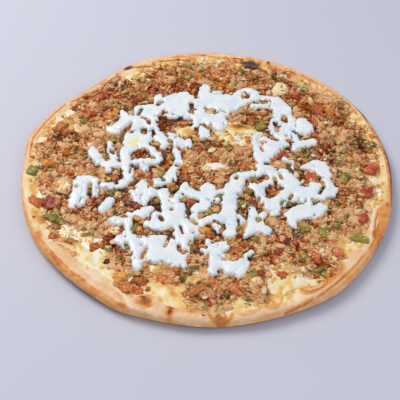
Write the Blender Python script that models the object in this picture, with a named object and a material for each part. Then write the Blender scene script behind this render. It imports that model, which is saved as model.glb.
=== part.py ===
"""Cheese lahmacun: a round flatbread with a low raised rim, baked under cheese and
spiced mince with diced tomato and pepper, and drizzled with thick yogurt.

Run it with  blender --background --python part.py  or from the text editor.
The model is in metres, +Z up.  It rests flat on z = 0, the middle of its outline is
on the Z axis and its front is towards -Y.  The named sizes below are millimetres.
"""

import math
import random

import bmesh
import bpy
from mathutils import Matrix, Vector, noise
from mathutils.geometry import delaunay_2d_cdt

MM = 0.001

# Driving sizes, in millimetres and degrees -------------------------------------------

OUTER_RADIUS = 160.0        # the bread is about 32 cm across
COLUMNS = 100               # points round every outline
BED_HEIGHT = 6.0            # flat dough under the topping
RIM_WIDTH = 12.0            # from the edge in to the flat bed
RIM_HEIGHT = 11.6           # crest of the rim above the table
BASE_INSET = 17.0           # the flat underside ends this far in from the edge
LAYER_GAP = 0.4             # clear space between one layer and the next

CHEESE_THICKNESS = 1.5      # layer under the mince
CHEESE_INSET = 12.7         # edge of the cheese, from the edge of the bread
CHEESE_SWELL = 0.9          # how far the open margin of the cheese bubbles up

MEAT_THICKNESS = 1.5        # mince without its crumbs
MEAT_INSET = 14.0           # edge of the mince where it reaches furthest
MEAT_COLUMNS = 160          # points round its edge
MEAT_RAGGED = 2.2           # how uneven that edge is
CRUMB_SPACING = 7.2         # points of the crumbly surface
CRUMB_JITTER = 0.8
CRUMB_MARGIN = 5.0          # from the outermost of them to the edge
CRUMB_HEIGHT = (0.6, 1.9)   # hollows and crumbs above the mince, at most
NUGGET_COUNT = 48           # the largest crumbs, fused on
NUGGET_SPACING = 14.5
NUGGET_CLEARANCE = 6.5      # from a nugget's middle to a topping or to the edge
NUGGET_HALF_SIZES = ((3.2, 5.0), (2.8, 4.2), (1.9, 2.6))
NUGGET_RISE = 0.9           # from the mince to a nugget's middle

YOGURT_HEIGHT = 3.3         # thickest pools
YOGURT_VOXEL = 0.9
YOGURT_SPREAD = 0.45        # added to the radius of every stroke
YOGURT_THINNEST = 1.2       # radius
YOGURT_STEP = 1.6           # between drops along a stroke
YOGURT_FOOT = 0.45          # what ends below this height lies flat on the mince
YOGURT_TRIANGLES = 17.0     # per square centimetre

CHEESE_BASE = BED_HEIGHT + LAYER_GAP
CHEESE_TOP = CHEESE_BASE + CHEESE_THICKNESS
MEAT_BASE = CHEESE_TOP + LAYER_GAP
MEAT_TOP = MEAT_BASE + MEAT_THICKNESS
TOPPING_BASE = MEAT_TOP + CRUMB_HEIGHT[1] + LAYER_GAP

# Uneven outlines: (direction, height in mm, half width in degrees) of each swelling.
# Directions are counted anticlockwise from +X.

EDGE_SWELLINGS = ((137, -8.4, 14), (169, 3.6, 7), (116, -1.0, 9), (246, 1.4, 6),
                  (307, 2.6, 11), (26, 1.6, 8), (73, -2.4, 9), (212, 0.8, 8), (352, -1.2, 10))
RIM_SWELLINGS = ((274, -2.6, 3.5), (264, 0.8, 5), (284, 0.7, 6), (306, 0.6, 12),
                 (232, 0.9, 16), (186, -1.2, 9), (96, -1.0, 10), (72, 0.9, 7),
                 (136, 0.7, 9), (20, -0.8, 12), (350, 0.6, 9), (158, 0.5, 6))
LIFTED_EDGES = ((228, 2.2, 15), (258, 1.4, 7), (291, 1.0, 9), (338, 1.2, 12),
                (52, 1.0, 12), (140, 1.8, 16), (100, 0.8, 8))
FOLDED_LIPS = ((318, 1.7, 20), (352, 1.3, 12), (40, 1.2, 16), (140, 1.5, 20))
MEAT_BAYS = ((229, 22.0, 13), (209, 3.0, 6), (258, 21.0, 6.5), (291, 20.0, 7),
             (304, 11.0, 5), (318, 6.0, 6), (347, 5.0, 12), (193, 2.5, 7),
             (156, 4.0, 6), (96, 5.0, 6), (70, 3.0, 5))

# Blisters of the rim: (x, y, radius, height)
BLISTERS = ((-46, -141, 9, 2.4), (-30, -148, 6, 1.6), (46, 141, 14, 2.4),
            (102, -112, 10, 1.5), (-62, 134, 12, 1.6), (146, -46, 9, 1.3))

# Where the yogurt was drizzled: named pools, each of strokes of (x, y, width)
YOGURT = {
    "yogurt_back": (
        ((-37, 79, 13), (-24, 83, 19), (-25, 70, 20), (-32, 67, 13)),
        ((-47, 85, 7), (-46, 76, 8), (-44, 71, 8), (-36, 74, 10)),
        ((-22, 75, 10), (-12, 77, 9), (-4, 79, 12)),
        ((-3, 99, 10), (-3, 91, 11), (0, 83, 14)),
        ((0, 81, 15), (10, 79, 22), (20, 78, 22), (26, 83, 11)),
        ((26, 86, 9), (30, 94, 6), (38, 97, 5), (44, 92, 7), (43, 84, 7), (35, 80, 7), (26, 79, 10)),
        ((13, 73, 13), (14, 63, 9), (12, 57, 12), (10, 48, 12), (10, 43, 8)),
        ((-7, 70, 8), (-6, 60, 10), (2, 57, 11), (8, 52, 12)),
        ((-8, 58, 6), (-12, 53, 5), (-12, 48, 3)),
        ((-1, 53, 8), (-3, 44, 7), (-3, 38, 8), (-2, 32, 7)),
        ((47, 88, 3.5), (54, 87, 3.5), (60, 85, 6)),
        ((64, 82, 10), (67, 76, 17), (70, 69, 14), (65, 65, 10), (62, 56, 7), (59, 49, 5), (59, 41, 8)),
        ((64, 57, 5), (66, 51, 4)),
        ((-46, 73, 9), (-46, 63, 6)),
        ((-64, 68, 8), (-57, 69, 9), (-51, 70, 8)),
        ((-68, 61, 7), (-64, 55, 12), (-63, 47, 10), (-66, 40, 8)),
        ((-55, 62, 13), (-51, 56, 10), (-50, 48, 7), (-48, 40, 7), (-42, 30, 10), (-39, 23, 7), (-39, 18, 4)),
        ((-79, 64, 4), (-76, 55, 8), (-79, 46, 10), (-85, 39, 9), (-91, 42, 5)),
        ((-76, 52, 7), (-69, 54, 7)),
        ((-63, 33, 14), (-69, 28, 12), (-67, 20, 11), (-72, 10, 8), (-71, 0, 9), (-68, -12, 9), (-67, -20, 7)),
        ((-56, 31, 12), (-57, 22, 11), (-50, 15, 6), (-43, 7, 7), (-43, 1, 6), (-52, -1, 6), (-62, -1, 6)),
        ((-57, -2, 5), (-56, -8, 3)),
        ((-104, 18, 5), (-100, 10, 8), (-95, 2, 8), (-88, -3, 8), (-80, -4, 9), (-72, -2, 7)),
        ((-84, -4, 7), (-84, -11, 4)),
        ((-86, 21, 4), (-85, 13, 5), (-81, 5, 6), (-79, 0, 7)),
        ((-68, -22, 6), (-73, -27, 7), (-80, -29, 7), (-88, -28, 4)),
    ),
    "yogurt_right": (
        ((76, 60, 5), (77, 54, 5), (74, 44, 7), (71, 35, 10), (66, 27, 13)),
        ((87, 52, 11), (88, 45, 15)),
        ((81, 43, 5), (75, 43, 7)),
        ((93, 27, 7), (86, 25, 8), (79, 25, 7), (77, 33, 6), (76, 41, 6)),
        ((79, 23, 6), (77, 17, 4)),
        ((43, 34, 3), (43, 24, 5), (46, 12, 11), (48, 2, 12), (49, -6, 13)),
        ((51, 31, 5), (56, 29, 8), (59, 23, 15), (53, 13, 12)),
        ((55, -9, 8), (58, -16, 8), (64, -19, 10), (71, -30, 13), (63, -39, 9), (55, -49, 10), (54, -55, 7)),
        ((64, -10, 5), (69, -15, 8), (72, -24, 11)),
        ((36, -26, 4), (42, -32, 8), (46, -42, 7), (50, -50, 8)),
        ((44, -29, 4), (50, -24, 5), (57, -21, 5)),
        ((72, -32, 12), (82, -33, 11), (92, -32, 12), (103, -33, 9)),
        ((88, -26, 6), (93, -28, 8)),
        ((83, -4, 4), (92, 1, 8), (98, -2, 9), (101, -11, 8), (101, -21, 7), (105, -31, 8)),
        ((44, -11, 6), (36, -14, 5), (26, -16, 9), (25, -24, 12), (18, -36, 15), (8, -38, 9), (-2, -38, 9)),
        ((1, -30, 11), (-1, -32, 9)),
        ((-19, -27, 5), (-19, -34, 8), (-12, -37, 8), (-3, -41, 9), (-2, -50, 8), (-8, -54, 9), (-10, -68, 3)),
        ((18, -44, 12), (19, -54, 10), (16, -60, 12), (6, -63, 6), (-4, -68, 6), (-14, -75, 11)),
        ((20, -64, 8), (19, -70, 6), (18, -77, 10)),
        ((-22, -37, 6), (-26, -46, 7), (-24, -53, 11), (-22, -60, 10)),
        ((-36, -36, 9), (-33, -47, 9), (-30, -57, 14), (-30, -67, 15), (-41, -69, 11), (-47, -70, 5)),
        ((-20, -72, 17), (-18, -86, 13), (-21, -97, 14), (-35, -98, 19), (-50, -94, 20), (-62, -88, 13),
         (-70, -86, 6)),
        ((-24, -106, 12), (-20, -109, 7)),
        ((-13, -78, 7), (-8, -80, 4)),
        ((-53, -104, 10), (-53, -112, 5)),
        ((-78, -67, 3), (-72, -66, 6), (-64, -68, 7), (-63, -76, 4), (-62, -84, 8)),
        ((84, -36, 5), (84, -48, 5)),
        ((94, -50, 9), (86, -54, 13), (76, -55, 14), (69, -59, 10), (69, -69, 5)),
    ),
    "yogurt_centre": (
        ((-33, 33, 6), (-29, 32, 7)),
        ((-29, 31, 4), (-25, 26, 5)),
        ((-25, 24, 9), (-18, 23, 9)),
        ((-26, 21, 6), (-26, 10, 6), (-25, 0, 6), (-29, -11, 7), (-33, -21, 10), (-42, -24, 8)),
    ),
    "yogurt_far_left": (
        ((-107, -24, 10), (-107, -35, 9), (-109, -46, 9), (-110, -53, 4)),
        ((-104, -22, 8), (-97, -23, 7), (-95, -33, 7), (-93, -40, 4)),
    ),
    "yogurt_slant": (
        ((-80, -46, 7), (-84, -54, 8)),
    ),
    "yogurt_inner_left": (
        ((-53, -24, 4), (-54, -32, 12), (-47, -36, 8), (-52, -43, 6), (-51, -48, 3)),
    ),
    "yogurt_small_left": (
        ((-46, -54, 5), (-53, -59, 8), (-60, -61, 5), (-65, -60, 3)),
    ),
    "yogurt_front_right": (
        ((37, -53, 5), (38, -61, 7), (39, -68, 12), (46, -75, 8), (49, -78, 4)),
        ((36, -74, 7), (31, -80, 4)),
        ((41, -63, 5), (46, -58, 5)),
    ),
    "yogurt_front": (
        ((3, -94, 6), (11, -92, 8), (13, -91, 7)),
        ((8, -96, 8), (6, -104, 9), (7, -113, 11)),
        ((10, -108, 11), (20, -112, 11), (28, -107, 8), (25, -117, 7)),
    ),
}

# Melted cheese that shows through the mince: name: (x, y, length, width, turn, height)
CHEESE_PATCHES = {
    "cheese_centre": (29, 44, 25, 15, -12, 2.6),
    "cheese_back": (69, 101, 21, 17, 70, 3.0),
    "cheese_small": (-17, 38, 14, 13, 0, 2.2),
    "cheese_left": (-117, 41, 15, 8, -50, 2.2),
    "cheese_middle": (9, -3, 19, 9, 8, 1.6),
}

# Diced vegetables: name: (x, y, length, width, turn, thickness)
TOMATO = {
    "tomato_01": (-127, -50, 18, 12, -15, 4.2),
    "tomato_02": (-14.5, -45, 11, 4.5, -12, 3.4),
    "tomato_03": (-62, -50, 14, 6, -20, 3.8),
    "tomato_04": (35.5, -45, 6, 5, 0, 3.4),
    "tomato_05": (55, -33.5, 7, 6, 15, 3.4),
    "tomato_06": (88, -15, 11, 9, 10, 4.0),
    "tomato_07": (64, 9, 11, 6, 50, 3.8),
    "tomato_08": (36, 32, 5, 6, 0, 3.4),
    "tomato_09": (83, 92, 10, 7, 80, 3.6),
    "tomato_10": (102, 71, 13, 9, 78, 3.8),
    "tomato_11": (-52, 98, 15, 8, 65, 3.4),
    "tomato_12": (-18, 103, 12, 8, 10, 3.6),
    "tomato_13": (61, -84, 12, 9, -20, 3.8),
    "tomato_14": (84, -100, 12, 8, 80, 3.8),
    "tomato_15": (102, -95, 9, 8, 30, 3.6),
    "tomato_16": (141, -4, 13, 11, 60, 3.8),
    "tomato_17": (133, -31, 12, 10, 75, 3.6),
    "tomato_18": (126, -60, 10, 9, 20, 3.6),
    "tomato_19": (17, 122, 12, 9, 5, 3.6),
    "tomato_20": (-110, 59, 12, 10, 40, 3.6),
    "tomato_21": (-101, 84, 14, 8, 30, 3.4),
}
ORANGE_PEPPER = {
    "orange_pepper_1": (113.5, 67, 12, 8, 80, 3.8),
    "orange_pepper_2": (48, 62, 9, 7, 80, 3.4),
    "orange_pepper_3": (-91, 59, 13, 12, 70, 3.4),
    "orange_pepper_4": (-88, -62, 14, 4.5, -5, 3.0),
    "orange_pepper_5": (-10, 118, 10, 8, 60, 3.4),
    "orange_pepper_6": (-138, -3, 12, 9, 10, 3.4),
    "orange_pepper_7": (-134, 43, 14, 9, 50, 3.4),
}
GREEN_PEPPER = {
    "green_pepper_1": (48.5, 47, 10, 8, 15, 3.6),
    "green_pepper_2": (-74, -59, 9, 3.5, 0, 2.8),
    "green_pepper_3": (-76.5, -37.5, 8, 6, 20, 3.0),
    "green_pepper_4": (-56, -73.5, 10, 4.5, 80, 3.0),
    "green_pepper_5": (3, -56.5, 7, 5, 45, 3.0),
    "green_pepper_6": (74, -100, 9, 6, 80, 3.2),
    "green_pepper_7": (93, -74, 12, 8, 60, 3.0),
    "green_pepper_8": (35, -116, 7, 7, 30, 3.2),
    "green_pepper_9": (121, -81, 13, 8, -25, 3.2),
    "green_pepper_10": (116, -16, 12, 8, 60, 3.2),
    "green_pepper_11": (-149, -11, 11, 10, 80, 3.0),
    "green_pepper_12": (-124, -64.5, 20, 6.5, -15, 3.0),
    "green_pepper_13": (32, 128, 7, 7, 20, 3.0),
}
PEPPER_RING = (86, 14.5, 10.0, 2.6, 2.8)    # x, y, outer diameter, thickness of its wall, height
DICE_ROUNDING = 0.24        # share of a piece's width that its cut edges lose

# Finishes: sRGB colour and roughness
FINISHES = {
    "baked_dough": ("D99F5C", 0.7),
    "melted_cheese": ("F3DFA6", 0.45),
    "browned_mince": ("AD7442", 0.65),
    "thick_yogurt": ("E9F1F6", 0.3),
    "cooked_tomato": ("BF3F28", 0.35),
    "orange_pepper": ("DD8226", 0.4),
    "green_pepper": ("7C8F33", 0.4),
}


# Small helpers --------------------------------------------------------------------------

def linear(channel):
    """One sRGB channel from 0 to 255 as a linear value."""
    value = channel / 255.0
    return value / 12.92 if value <= 0.04045 else ((value + 0.055) / 1.055) ** 2.4


def finish(name):
    """The named Principled material, made once."""
    if name in bpy.data.materials:
        return bpy.data.materials[name]
    colour, roughness = FINISHES[name]
    material = bpy.data.materials.new(name)
    material.use_nodes = True
    shader = material.node_tree.nodes["Principled BSDF"]
    rgb = [linear(int(colour[i:i + 2], 16)) for i in (0, 2, 4)]
    shader.inputs["Base Color"].default_value = (*rgb, 1.0)
    shader.inputs["Roughness"].default_value = roughness
    shader.inputs["Metallic"].default_value = 0.0
    return material


def add_object(name, mesh, material):
    """Link a mesh to the scene as a named object with one finish."""
    mesh.materials.clear()
    mesh.materials.append(finish(material))
    mesh.shade_smooth()
    mesh.set_sharp_from_angle(angle=math.radians(45))
    thing = bpy.data.objects.new(name, mesh)
    bpy.context.scene.collection.objects.link(thing)
    return thing


def mesh_from(bm, name):
    """Turn a bmesh into mesh data with its faces pointing out."""
    bmesh.ops.recalc_face_normals(bm, faces=bm.faces)
    mesh = bpy.data.meshes.new(name)
    bm.to_mesh(mesh)
    bm.free()
    return mesh


def applied(thing):
    """Replace an object's mesh by what its modifiers make of it."""
    graph = bpy.context.evaluated_depsgraph_get()
    mesh = bpy.data.meshes.new_from_object(thing.evaluated_get(graph))
    thing.modifiers.clear()
    thing.data = mesh
    return mesh


def swell(angle, swellings):
    """Sum of the swellings felt in one direction, in millimetres."""
    total = 0.0
    for centre, height, half_width in swellings:
        turn = (math.degrees(angle) - centre + 180.0) % 360.0 - 180.0
        total += height * math.exp(-(turn / half_width) ** 2)
    return total


def outline(angle):
    """Radius of the bread's edge in one direction."""
    return OUTER_RADIUS + swell(angle, EDGE_SWELLINGS)


def meat_reach(angle):
    """Radius out to which the mince was spread."""
    return outline(angle) - MEAT_INSET - swell(angle, MEAT_BAYS)


def ring(bm, radius_at, height_at, columns=COLUMNS):
    """A closed ring of vertices from radius and height functions of the angle."""
    verts = []
    for i in range(columns):
        angle = math.tau * i / columns
        radius = radius_at(angle)
        point = Vector((radius * math.cos(angle), radius * math.sin(angle), height_at(angle)))
        verts.append(bm.verts.new(point * MM))
    return verts


def skin(bm, rings):
    """Join successive rings with quads and close both ends with a flat face."""
    for lower, upper in zip(rings, rings[1:]):
        for i in range(len(lower)):
            j = (i + 1) % len(lower)
            bm.faces.new((lower[i], lower[j], upper[j], upper[i]))
    bm.faces.new(reversed(rings[0]))
    bm.faces.new(rings[-1])


def segment_distance(x, y, start, end):
    """Distance from a point to the edge of one tapered stroke segment."""
    ax, ay, start_width = start
    bx, by, end_width = end
    dx, dy = bx - ax, by - ay
    along = ((x - ax) * dx + (y - ay) * dy) / (dx * dx + dy * dy)
    along = min(1.0, max(0.0, along))
    width = start_width + (end_width - start_width) * along
    return math.hypot(x - ax - along * dx, y - ay - along * dy) - width / 2


def yogurt_distance(x, y):
    """Distance from a point to the nearest yogurt."""
    return min(segment_distance(x, y, a, b)
               for strokes in YOGURT.values() for stroke in strokes for a, b in zip(stroke, stroke[1:]))


# Bread --------------------------------------------------------------------------------------

def rim_profile():
    """Inset and height, from the flat underside over the crest to the flat bed.

    Each row: inset from the edge, height, and how much of the edge's lift, the crest's
    swelling and the folded lip's groove that row takes.
    """
    return ((BASE_INSET, 0.0, 0.0, 0.0, 0.0),
            (8.0, 0.25, 0.6, 0.0, 0.0),
            (2.6, 1.1, 1.0, 0.0, 0.0),
            (0.6, 3.0, 0.9, 0.1, 0.0),
            (0.0, 5.4, 0.5, 0.3, 0.3),
            (0.9, 8.2, 0.2, 0.7, -0.2),
            (2.6, 10.6, 0.0, 1.0, 0.1),
            (4.7, RIM_HEIGHT, 0.0, 1.0, 0.0),
            (7.0, 10.6, 0.0, 0.8, 1.0),
            (9.0, 8.9, 0.0, 0.4, 0.1),
            (RIM_WIDTH, BED_HEIGHT, 0.0, 0.0, 0.0))


def add_bread():
    """The bread: a flat disc whose rim is rolled up and blistered."""
    bm = bmesh.new()
    rings = []
    for inset, height, lift, crest, groove in rim_profile():
        def radius_at(angle):
            return outline(angle) - inset

        def height_at(angle):
            wave = 0.5 * noise.noise(Vector((7.0 * math.cos(angle), 7.0 * math.sin(angle), inset)))
            rise = height + lift * swell(angle, LIFTED_EDGES)
            rise += crest * (swell(angle, RIM_SWELLINGS) + wave)
            return rise - groove * swell(angle, FOLDED_LIPS)

        rings.append(ring(bm, radius_at, height_at))
    skin(bm, rings)
    for vert in bm.verts:
        if vert.co.z > (BED_HEIGHT + 0.5) * MM:
            for x, y, radius, height in BLISTERS:
                away = math.hypot(vert.co.x / MM - x, vert.co.y / MM - y) / radius
                vert.co.z += height * MM * math.exp(-away * away)
    add_object("bread", mesh_from(bm, "bread"), "baked_dough")


# Cheese -------------------------------------------------------------------------------------

def add_cheese():
    """The melted layer between bread and mince, swollen where nothing covers it."""
    bm = bmesh.new()

    def edge(angle):
        return outline(angle) - CHEESE_INSET

    def inner(angle):
        return min(meat_reach(angle), edge(angle) - 3.0) - 1.5

    def middle(angle):
        return inner(angle) + 0.55 * (edge(angle) - 1.4 - inner(angle))

    def bubble(angle):
        open_margin = (edge(angle) - meat_reach(angle) - 5.0) / 10.0
        height = CHEESE_SWELL * min(1.0, max(0.0, open_margin))
        return CHEESE_TOP + height * (0.75 + 0.25 * math.sin(23.0 * angle))

    rings = [ring(bm, edge, lambda a: CHEESE_BASE),
             ring(bm, lambda a: edge(a) - 1.4, lambda a: CHEESE_TOP - 0.3),
             ring(bm, middle, bubble),
             ring(bm, inner, lambda a: CHEESE_TOP)]
    skin(bm, rings)
    add_object("cheese", mesh_from(bm, "cheese"), "melted_cheese")


def add_cheese_patch(name, x, y, length, width, turn, height):
    """A puddle of cheese that has bubbled up through the mince."""
    columns = 14
    wobble = random.Random(name)
    reach = [wobble.uniform(0.88, 1.08) for _ in range(columns)]
    place = Matrix.Translation(Vector((x, y, TOPPING_BASE)) * MM)
    place = place @ Matrix.Rotation(math.radians(turn), 4, "Z")
    bm = bmesh.new()
    rings = []
    for share, rise in ((0.93, 0.0), (1.0, 0.25), (0.72, 0.8), (0.35, 1.0)):
        verts = []
        for i, spread in enumerate(reach):
            angle = math.tau * i / columns
            point = Vector((length / 2 * math.cos(angle), width / 2 * math.sin(angle), 0.0)) * share * spread
            point.z = rise * height
            verts.append(bm.verts.new(place @ (point * MM)))
        rings.append(verts)
    skin(bm, rings)
    add_object(name, mesh_from(bm, name), "melted_cheese")


# Mince --------------------------------------------------------------------------------------

def crumb_points():
    """Points of the crumbly surface on a jittered triangular lattice, as (x, y, height).

    Every third point is the top of a crumb, and its six neighbours are low.
    """
    jitter = random.Random("crumbs")
    row_height = CRUMB_SPACING * math.sqrt(0.75)
    rows = int(OUTER_RADIUS / row_height) + 1
    points = []
    for row in range(-rows, rows + 1):
        for step in range(-2 * rows, 2 * rows + 1):
            x = CRUMB_SPACING * (step + row / 2.0) + jitter.uniform(-CRUMB_JITTER, CRUMB_JITTER)
            y = row_height * row + jitter.uniform(-CRUMB_JITTER, CRUMB_JITTER)
            if (step - row) % 3 == 0:
                height = jitter.uniform(CRUMB_HEIGHT[1] * 0.6, CRUMB_HEIGHT[1])
            else:
                height = jitter.uniform(0.0, CRUMB_HEIGHT[0])
            if math.hypot(x, y) < meat_reach(math.atan2(y, x)) - CRUMB_MARGIN:
                points.append((x, y, height))
    return points


def meat_outline():
    """The ragged edge of the mince, as points in the plane."""
    jitter = random.Random("edge")
    points = []
    for i in range(MEAT_COLUMNS):
        angle = math.tau * i / MEAT_COLUMNS
        radius = meat_reach(angle) - jitter.uniform(0.0, MEAT_RAGGED)
        points.append((radius * math.cos(angle), radius * math.sin(angle)))
    return points


def mince_slab():
    """The mince without its largest crumbs: flat below, crumbly on top."""
    edge = meat_outline()
    crumbs = crumb_points()
    flat = [Vector(p) for p in edge] + [Vector(p[:2]) for p in crumbs]
    faces = delaunay_2d_cdt(flat, [], [list(range(len(edge)))], 1, 1e-6)[2]
    heights = [MEAT_TOP] * len(edge) + [MEAT_TOP + p[2] for p in crumbs]
    bm = bmesh.new()
    top = [bm.verts.new(Vector((p.x, p.y, z)) * MM) for p, z in zip(flat, heights)]
    for face in faces:
        bm.faces.new([top[i] for i in face])
    low = [bm.verts.new(Vector((x, y, MEAT_BASE)) * MM) for x, y in edge]
    for i in range(len(edge)):
        j = (i + 1) % len(edge)
        bm.faces.new((low[i], low[j], top[j], top[i]))
    bm.faces.new(reversed(low))
    return add_object("mince", mesh_from(bm, "mince"), "browned_mince")


def toppings():
    """Every piece that lies on the mince, as (x, y, reach)."""
    pieces = []
    for group in (TOMATO, ORANGE_PEPPER, GREEN_PEPPER, CHEESE_PATCHES):
        pieces += [(p[0], p[1], math.hypot(p[2], p[3]) / 2) for p in group.values()]
    pieces.append((PEPPER_RING[0], PEPPER_RING[1], PEPPER_RING[2] / 2))
    return pieces


def nugget_places():
    """Evenly spread places for the largest crumbs, clear of all toppings."""
    dice = random.Random("nuggets")
    pieces = toppings()
    places = []
    tries = 0
    while len(places) < NUGGET_COUNT and tries < 20000:
        tries += 1
        angle = dice.uniform(0.0, math.tau)
        radius = OUTER_RADIUS * math.sqrt(dice.random())
        x, y = radius * math.cos(angle), radius * math.sin(angle)
        if radius > meat_reach(angle) - NUGGET_CLEARANCE - MEAT_RAGGED:
            continue
        if yogurt_distance(x, y) < NUGGET_CLEARANCE:
            continue
        if any(math.hypot(x - px, y - py) < reach + NUGGET_CLEARANCE for px, py, reach in pieces):
            continue
        if any(math.hypot(x - px, y - py) < NUGGET_SPACING for px, py in places):
            continue
        places.append((x, y))
    return places


def add_mince():
    """The mince with its largest crumbs fused on."""
    slab = mince_slab()
    dice = random.Random("nugget shapes")
    nuggets = bpy.data.collections.new("nuggets")
    for x, y in nugget_places():
        bm = bmesh.new()
        size = Vector([dice.uniform(*span) for span in NUGGET_HALF_SIZES]) * MM
        place = Matrix.Translation(Vector((x, y, MEAT_TOP + NUGGET_RISE)) * MM)
        place = place @ Matrix.Rotation(dice.uniform(0.0, math.tau), 4, "Z") @ Matrix.Diagonal((*size, 1.0))
        bmesh.ops.create_icosphere(bm, subdivisions=1, radius=1.0)
        for vert in bm.verts:
            vert.co *= dice.uniform(0.85, 1.1)
        bmesh.ops.transform(bm, matrix=place, verts=bm.verts)
        nuggets.objects.link(bpy.data.objects.new("nugget", mesh_from(bm, "nugget")))
    bpy.context.scene.collection.children.link(nuggets)
    union = slab.modifiers.new("fuse", "BOOLEAN")
    union.operation = "UNION"
    union.operand_type = "COLLECTION"
    union.collection = nuggets
    union.solver = "EXACT"
    applied(slab)
    for nugget in list(nuggets.objects):
        bpy.data.objects.remove(nugget)
    bpy.data.collections.remove(nuggets)


# Yogurt -------------------------------------------------------------------------------------

def stroke_samples(stroke):
    """Closely spaced (x, y, radius) along a stroke, read from a smooth curve."""
    samples = []
    for i, (start, end) in enumerate(zip(stroke, stroke[1:])):
        before = Vector(stroke[max(i - 1, 0)])
        after = Vector(stroke[min(i + 2, len(stroke) - 1)])
        start, end = Vector(start), Vector(end)
        steps = max(2, round((end - start).length / YOGURT_STEP))
        for step in range(steps + 1):
            t = step / steps
            point = 0.5 * (2.0 * start + (end - before) * t
                           + (2.0 * before - 5.0 * start + 4.0 * end - after) * t * t
                           + (3.0 * start - before - 3.0 * end + after) * t ** 3)
            samples.append((point.x, point.y, YOGURT_SPREAD + max(YOGURT_THINNEST, point.z / 2)))
    return samples


def add_yogurt(name, strokes):
    """One pool: overlapping drops, flat below and level above, melted together."""
    bm = bmesh.new()
    for stroke in strokes:
        for x, y, radius in stroke_samples(stroke):
            place = Matrix.Translation(Vector((x, y, 0.0)) * MM)
            bmesh.ops.create_icosphere(bm, subdivisions=2, radius=radius * MM, matrix=place)
    for vert in bm.verts:
        vert.co.z = min(YOGURT_HEIGHT * MM, max(0.0, vert.co.z))
    bmesh.ops.dissolve_degenerate(bm, dist=1e-7, edges=bm.edges)
    mesh = mesh_from(bm, name)
    mesh.transform(Matrix.Translation((0.0, 0.0, TOPPING_BASE * MM)))
    pool = add_object(name, mesh, "thick_yogurt")

    melt = pool.modifiers.new("melt", "REMESH")
    melt.mode = "VOXEL"
    melt.voxel_size = YOGURT_VOXEL * MM
    settle = pool.modifiers.new("settle", "SMOOTH")
    settle.factor = 0.5
    settle.iterations = 3
    area = sum(face.area for face in applied(pool).polygons) / 2 * 1e4
    thin = pool.modifiers.new("thin", "DECIMATE")
    thin.ratio = YOGURT_TRIANGLES * area / (2 * len(pool.data.polygons))
    mesh = applied(pool)

    base = TOPPING_BASE * MM
    for vert in mesh.vertices:
        if vert.co.z < base + YOGURT_FOOT * MM:
            vert.co.z = base
    mesh.materials.clear()
    mesh.materials.append(finish("thick_yogurt"))


# Vegetables ---------------------------------------------------------------------------------

def add_dice(name, piece, material):
    """A roughly cut, slightly rounded piece of vegetable."""
    x, y, length, width, turn, thickness = piece
    shape = random.Random(name)
    bm = bmesh.new()
    bmesh.ops.create_cube(bm, size=1.0)
    for vert in bm.verts:
        vert.co.x *= length * shape.uniform(0.82, 1.0)
        vert.co.y *= width * shape.uniform(0.82, 1.0)
        vert.co.z = thickness * (vert.co.z + 0.5) * shape.uniform(0.8, 1.0)
    edges = [edge for edge in bm.edges if any(vert.co.z > 0.1 for vert in edge.verts)]
    bmesh.ops.bevel(bm, geom=edges, offset=DICE_ROUNDING * min(width, thickness), segments=1, affect="EDGES")
    bmesh.ops.triangulate(bm, faces=bm.faces)
    place = Matrix.Translation(Vector((x, y, TOPPING_BASE)) * MM)
    place = place @ Matrix.Rotation(math.radians(turn), 4, "Z") @ Matrix.Diagonal((MM, MM, MM, 1.0))
    bmesh.ops.transform(bm, matrix=place, verts=bm.verts)
    add_object(name, mesh_from(bm, name), material)


def add_pepper_ring():
    """A thin slice across a small green pepper."""
    x, y, diameter, wall, height = PEPPER_RING
    columns = 12
    inner, outer = diameter / 2 - wall, diameter / 2
    section = ((inner, 0.0), (outer - 0.4, 0.0), (outer, height * 0.5),
               (outer - 0.6, height), (inner + 0.3, height))
    bm = bmesh.new()
    loops = []
    for i in range(columns):
        angle = math.tau * i / columns
        spread = 1.0 + 0.07 * math.cos(3.0 * angle)
        loops.append([bm.verts.new(Vector((x + r * spread * math.cos(angle), y + r * spread * math.sin(angle),
                                           TOPPING_BASE + z)) * MM) for r, z in section])
    for i, loop in enumerate(loops):
        following = loops[(i + 1) % columns]
        for k in range(len(section)):
            m = (k + 1) % len(section)
            bm.faces.new((loop[k], following[k], following[m], loop[m]))
    add_object("green_pepper_ring", mesh_from(bm, "green_pepper_ring"), "green_pepper")


# Build --------------------------------------------------------------------------------------

def centre_on_axis():
    """Move everything so that the bread's outline is centred on the Z axis."""
    xs = [vert.co.x for vert in bpy.data.objects["bread"].data.vertices]
    ys = [vert.co.y for vert in bpy.data.objects["bread"].data.vertices]
    shift = Matrix.Translation((-(min(xs) + max(xs)) / 2, -(min(ys) + max(ys)) / 2, 0.0))
    for thing in bpy.data.objects:
        thing.data.transform(shift)


def build():
    """Clear the scene and build every piece."""
    for thing in list(bpy.data.objects):
        bpy.data.objects.remove(thing, do_unlink=True)
    add_bread()
    add_cheese()
    add_mince()
    for name, strokes in YOGURT.items():
        add_yogurt(name, strokes)
    for name, patch in CHEESE_PATCHES.items():
        add_cheese_patch(name, *patch)
    for group, material in ((TOMATO, "cooked_tomato"), (ORANGE_PEPPER, "orange_pepper"),
                            (GREEN_PEPPER, "green_pepper")):
        for name, piece in group.items():
            add_dice(name, piece, material)
    add_pepper_ring()
    centre_on_axis()


build()
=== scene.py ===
# %% [markdown]
# # A cheese lahmacun, from dough to drizzle
#
# The real thing is baked in layers: a thin round of dough with a rolled edge, melted
# cheese, crumbled mince with diced vegetables, and thick yogurt drizzled on top.  The
# solid model already says how large each layer is and where each piece lies.  This
# script dresses it, one layer at a time, in the order in which a cook would work.

# %% Load the solid model
import math
from contextlib import contextmanager

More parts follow.
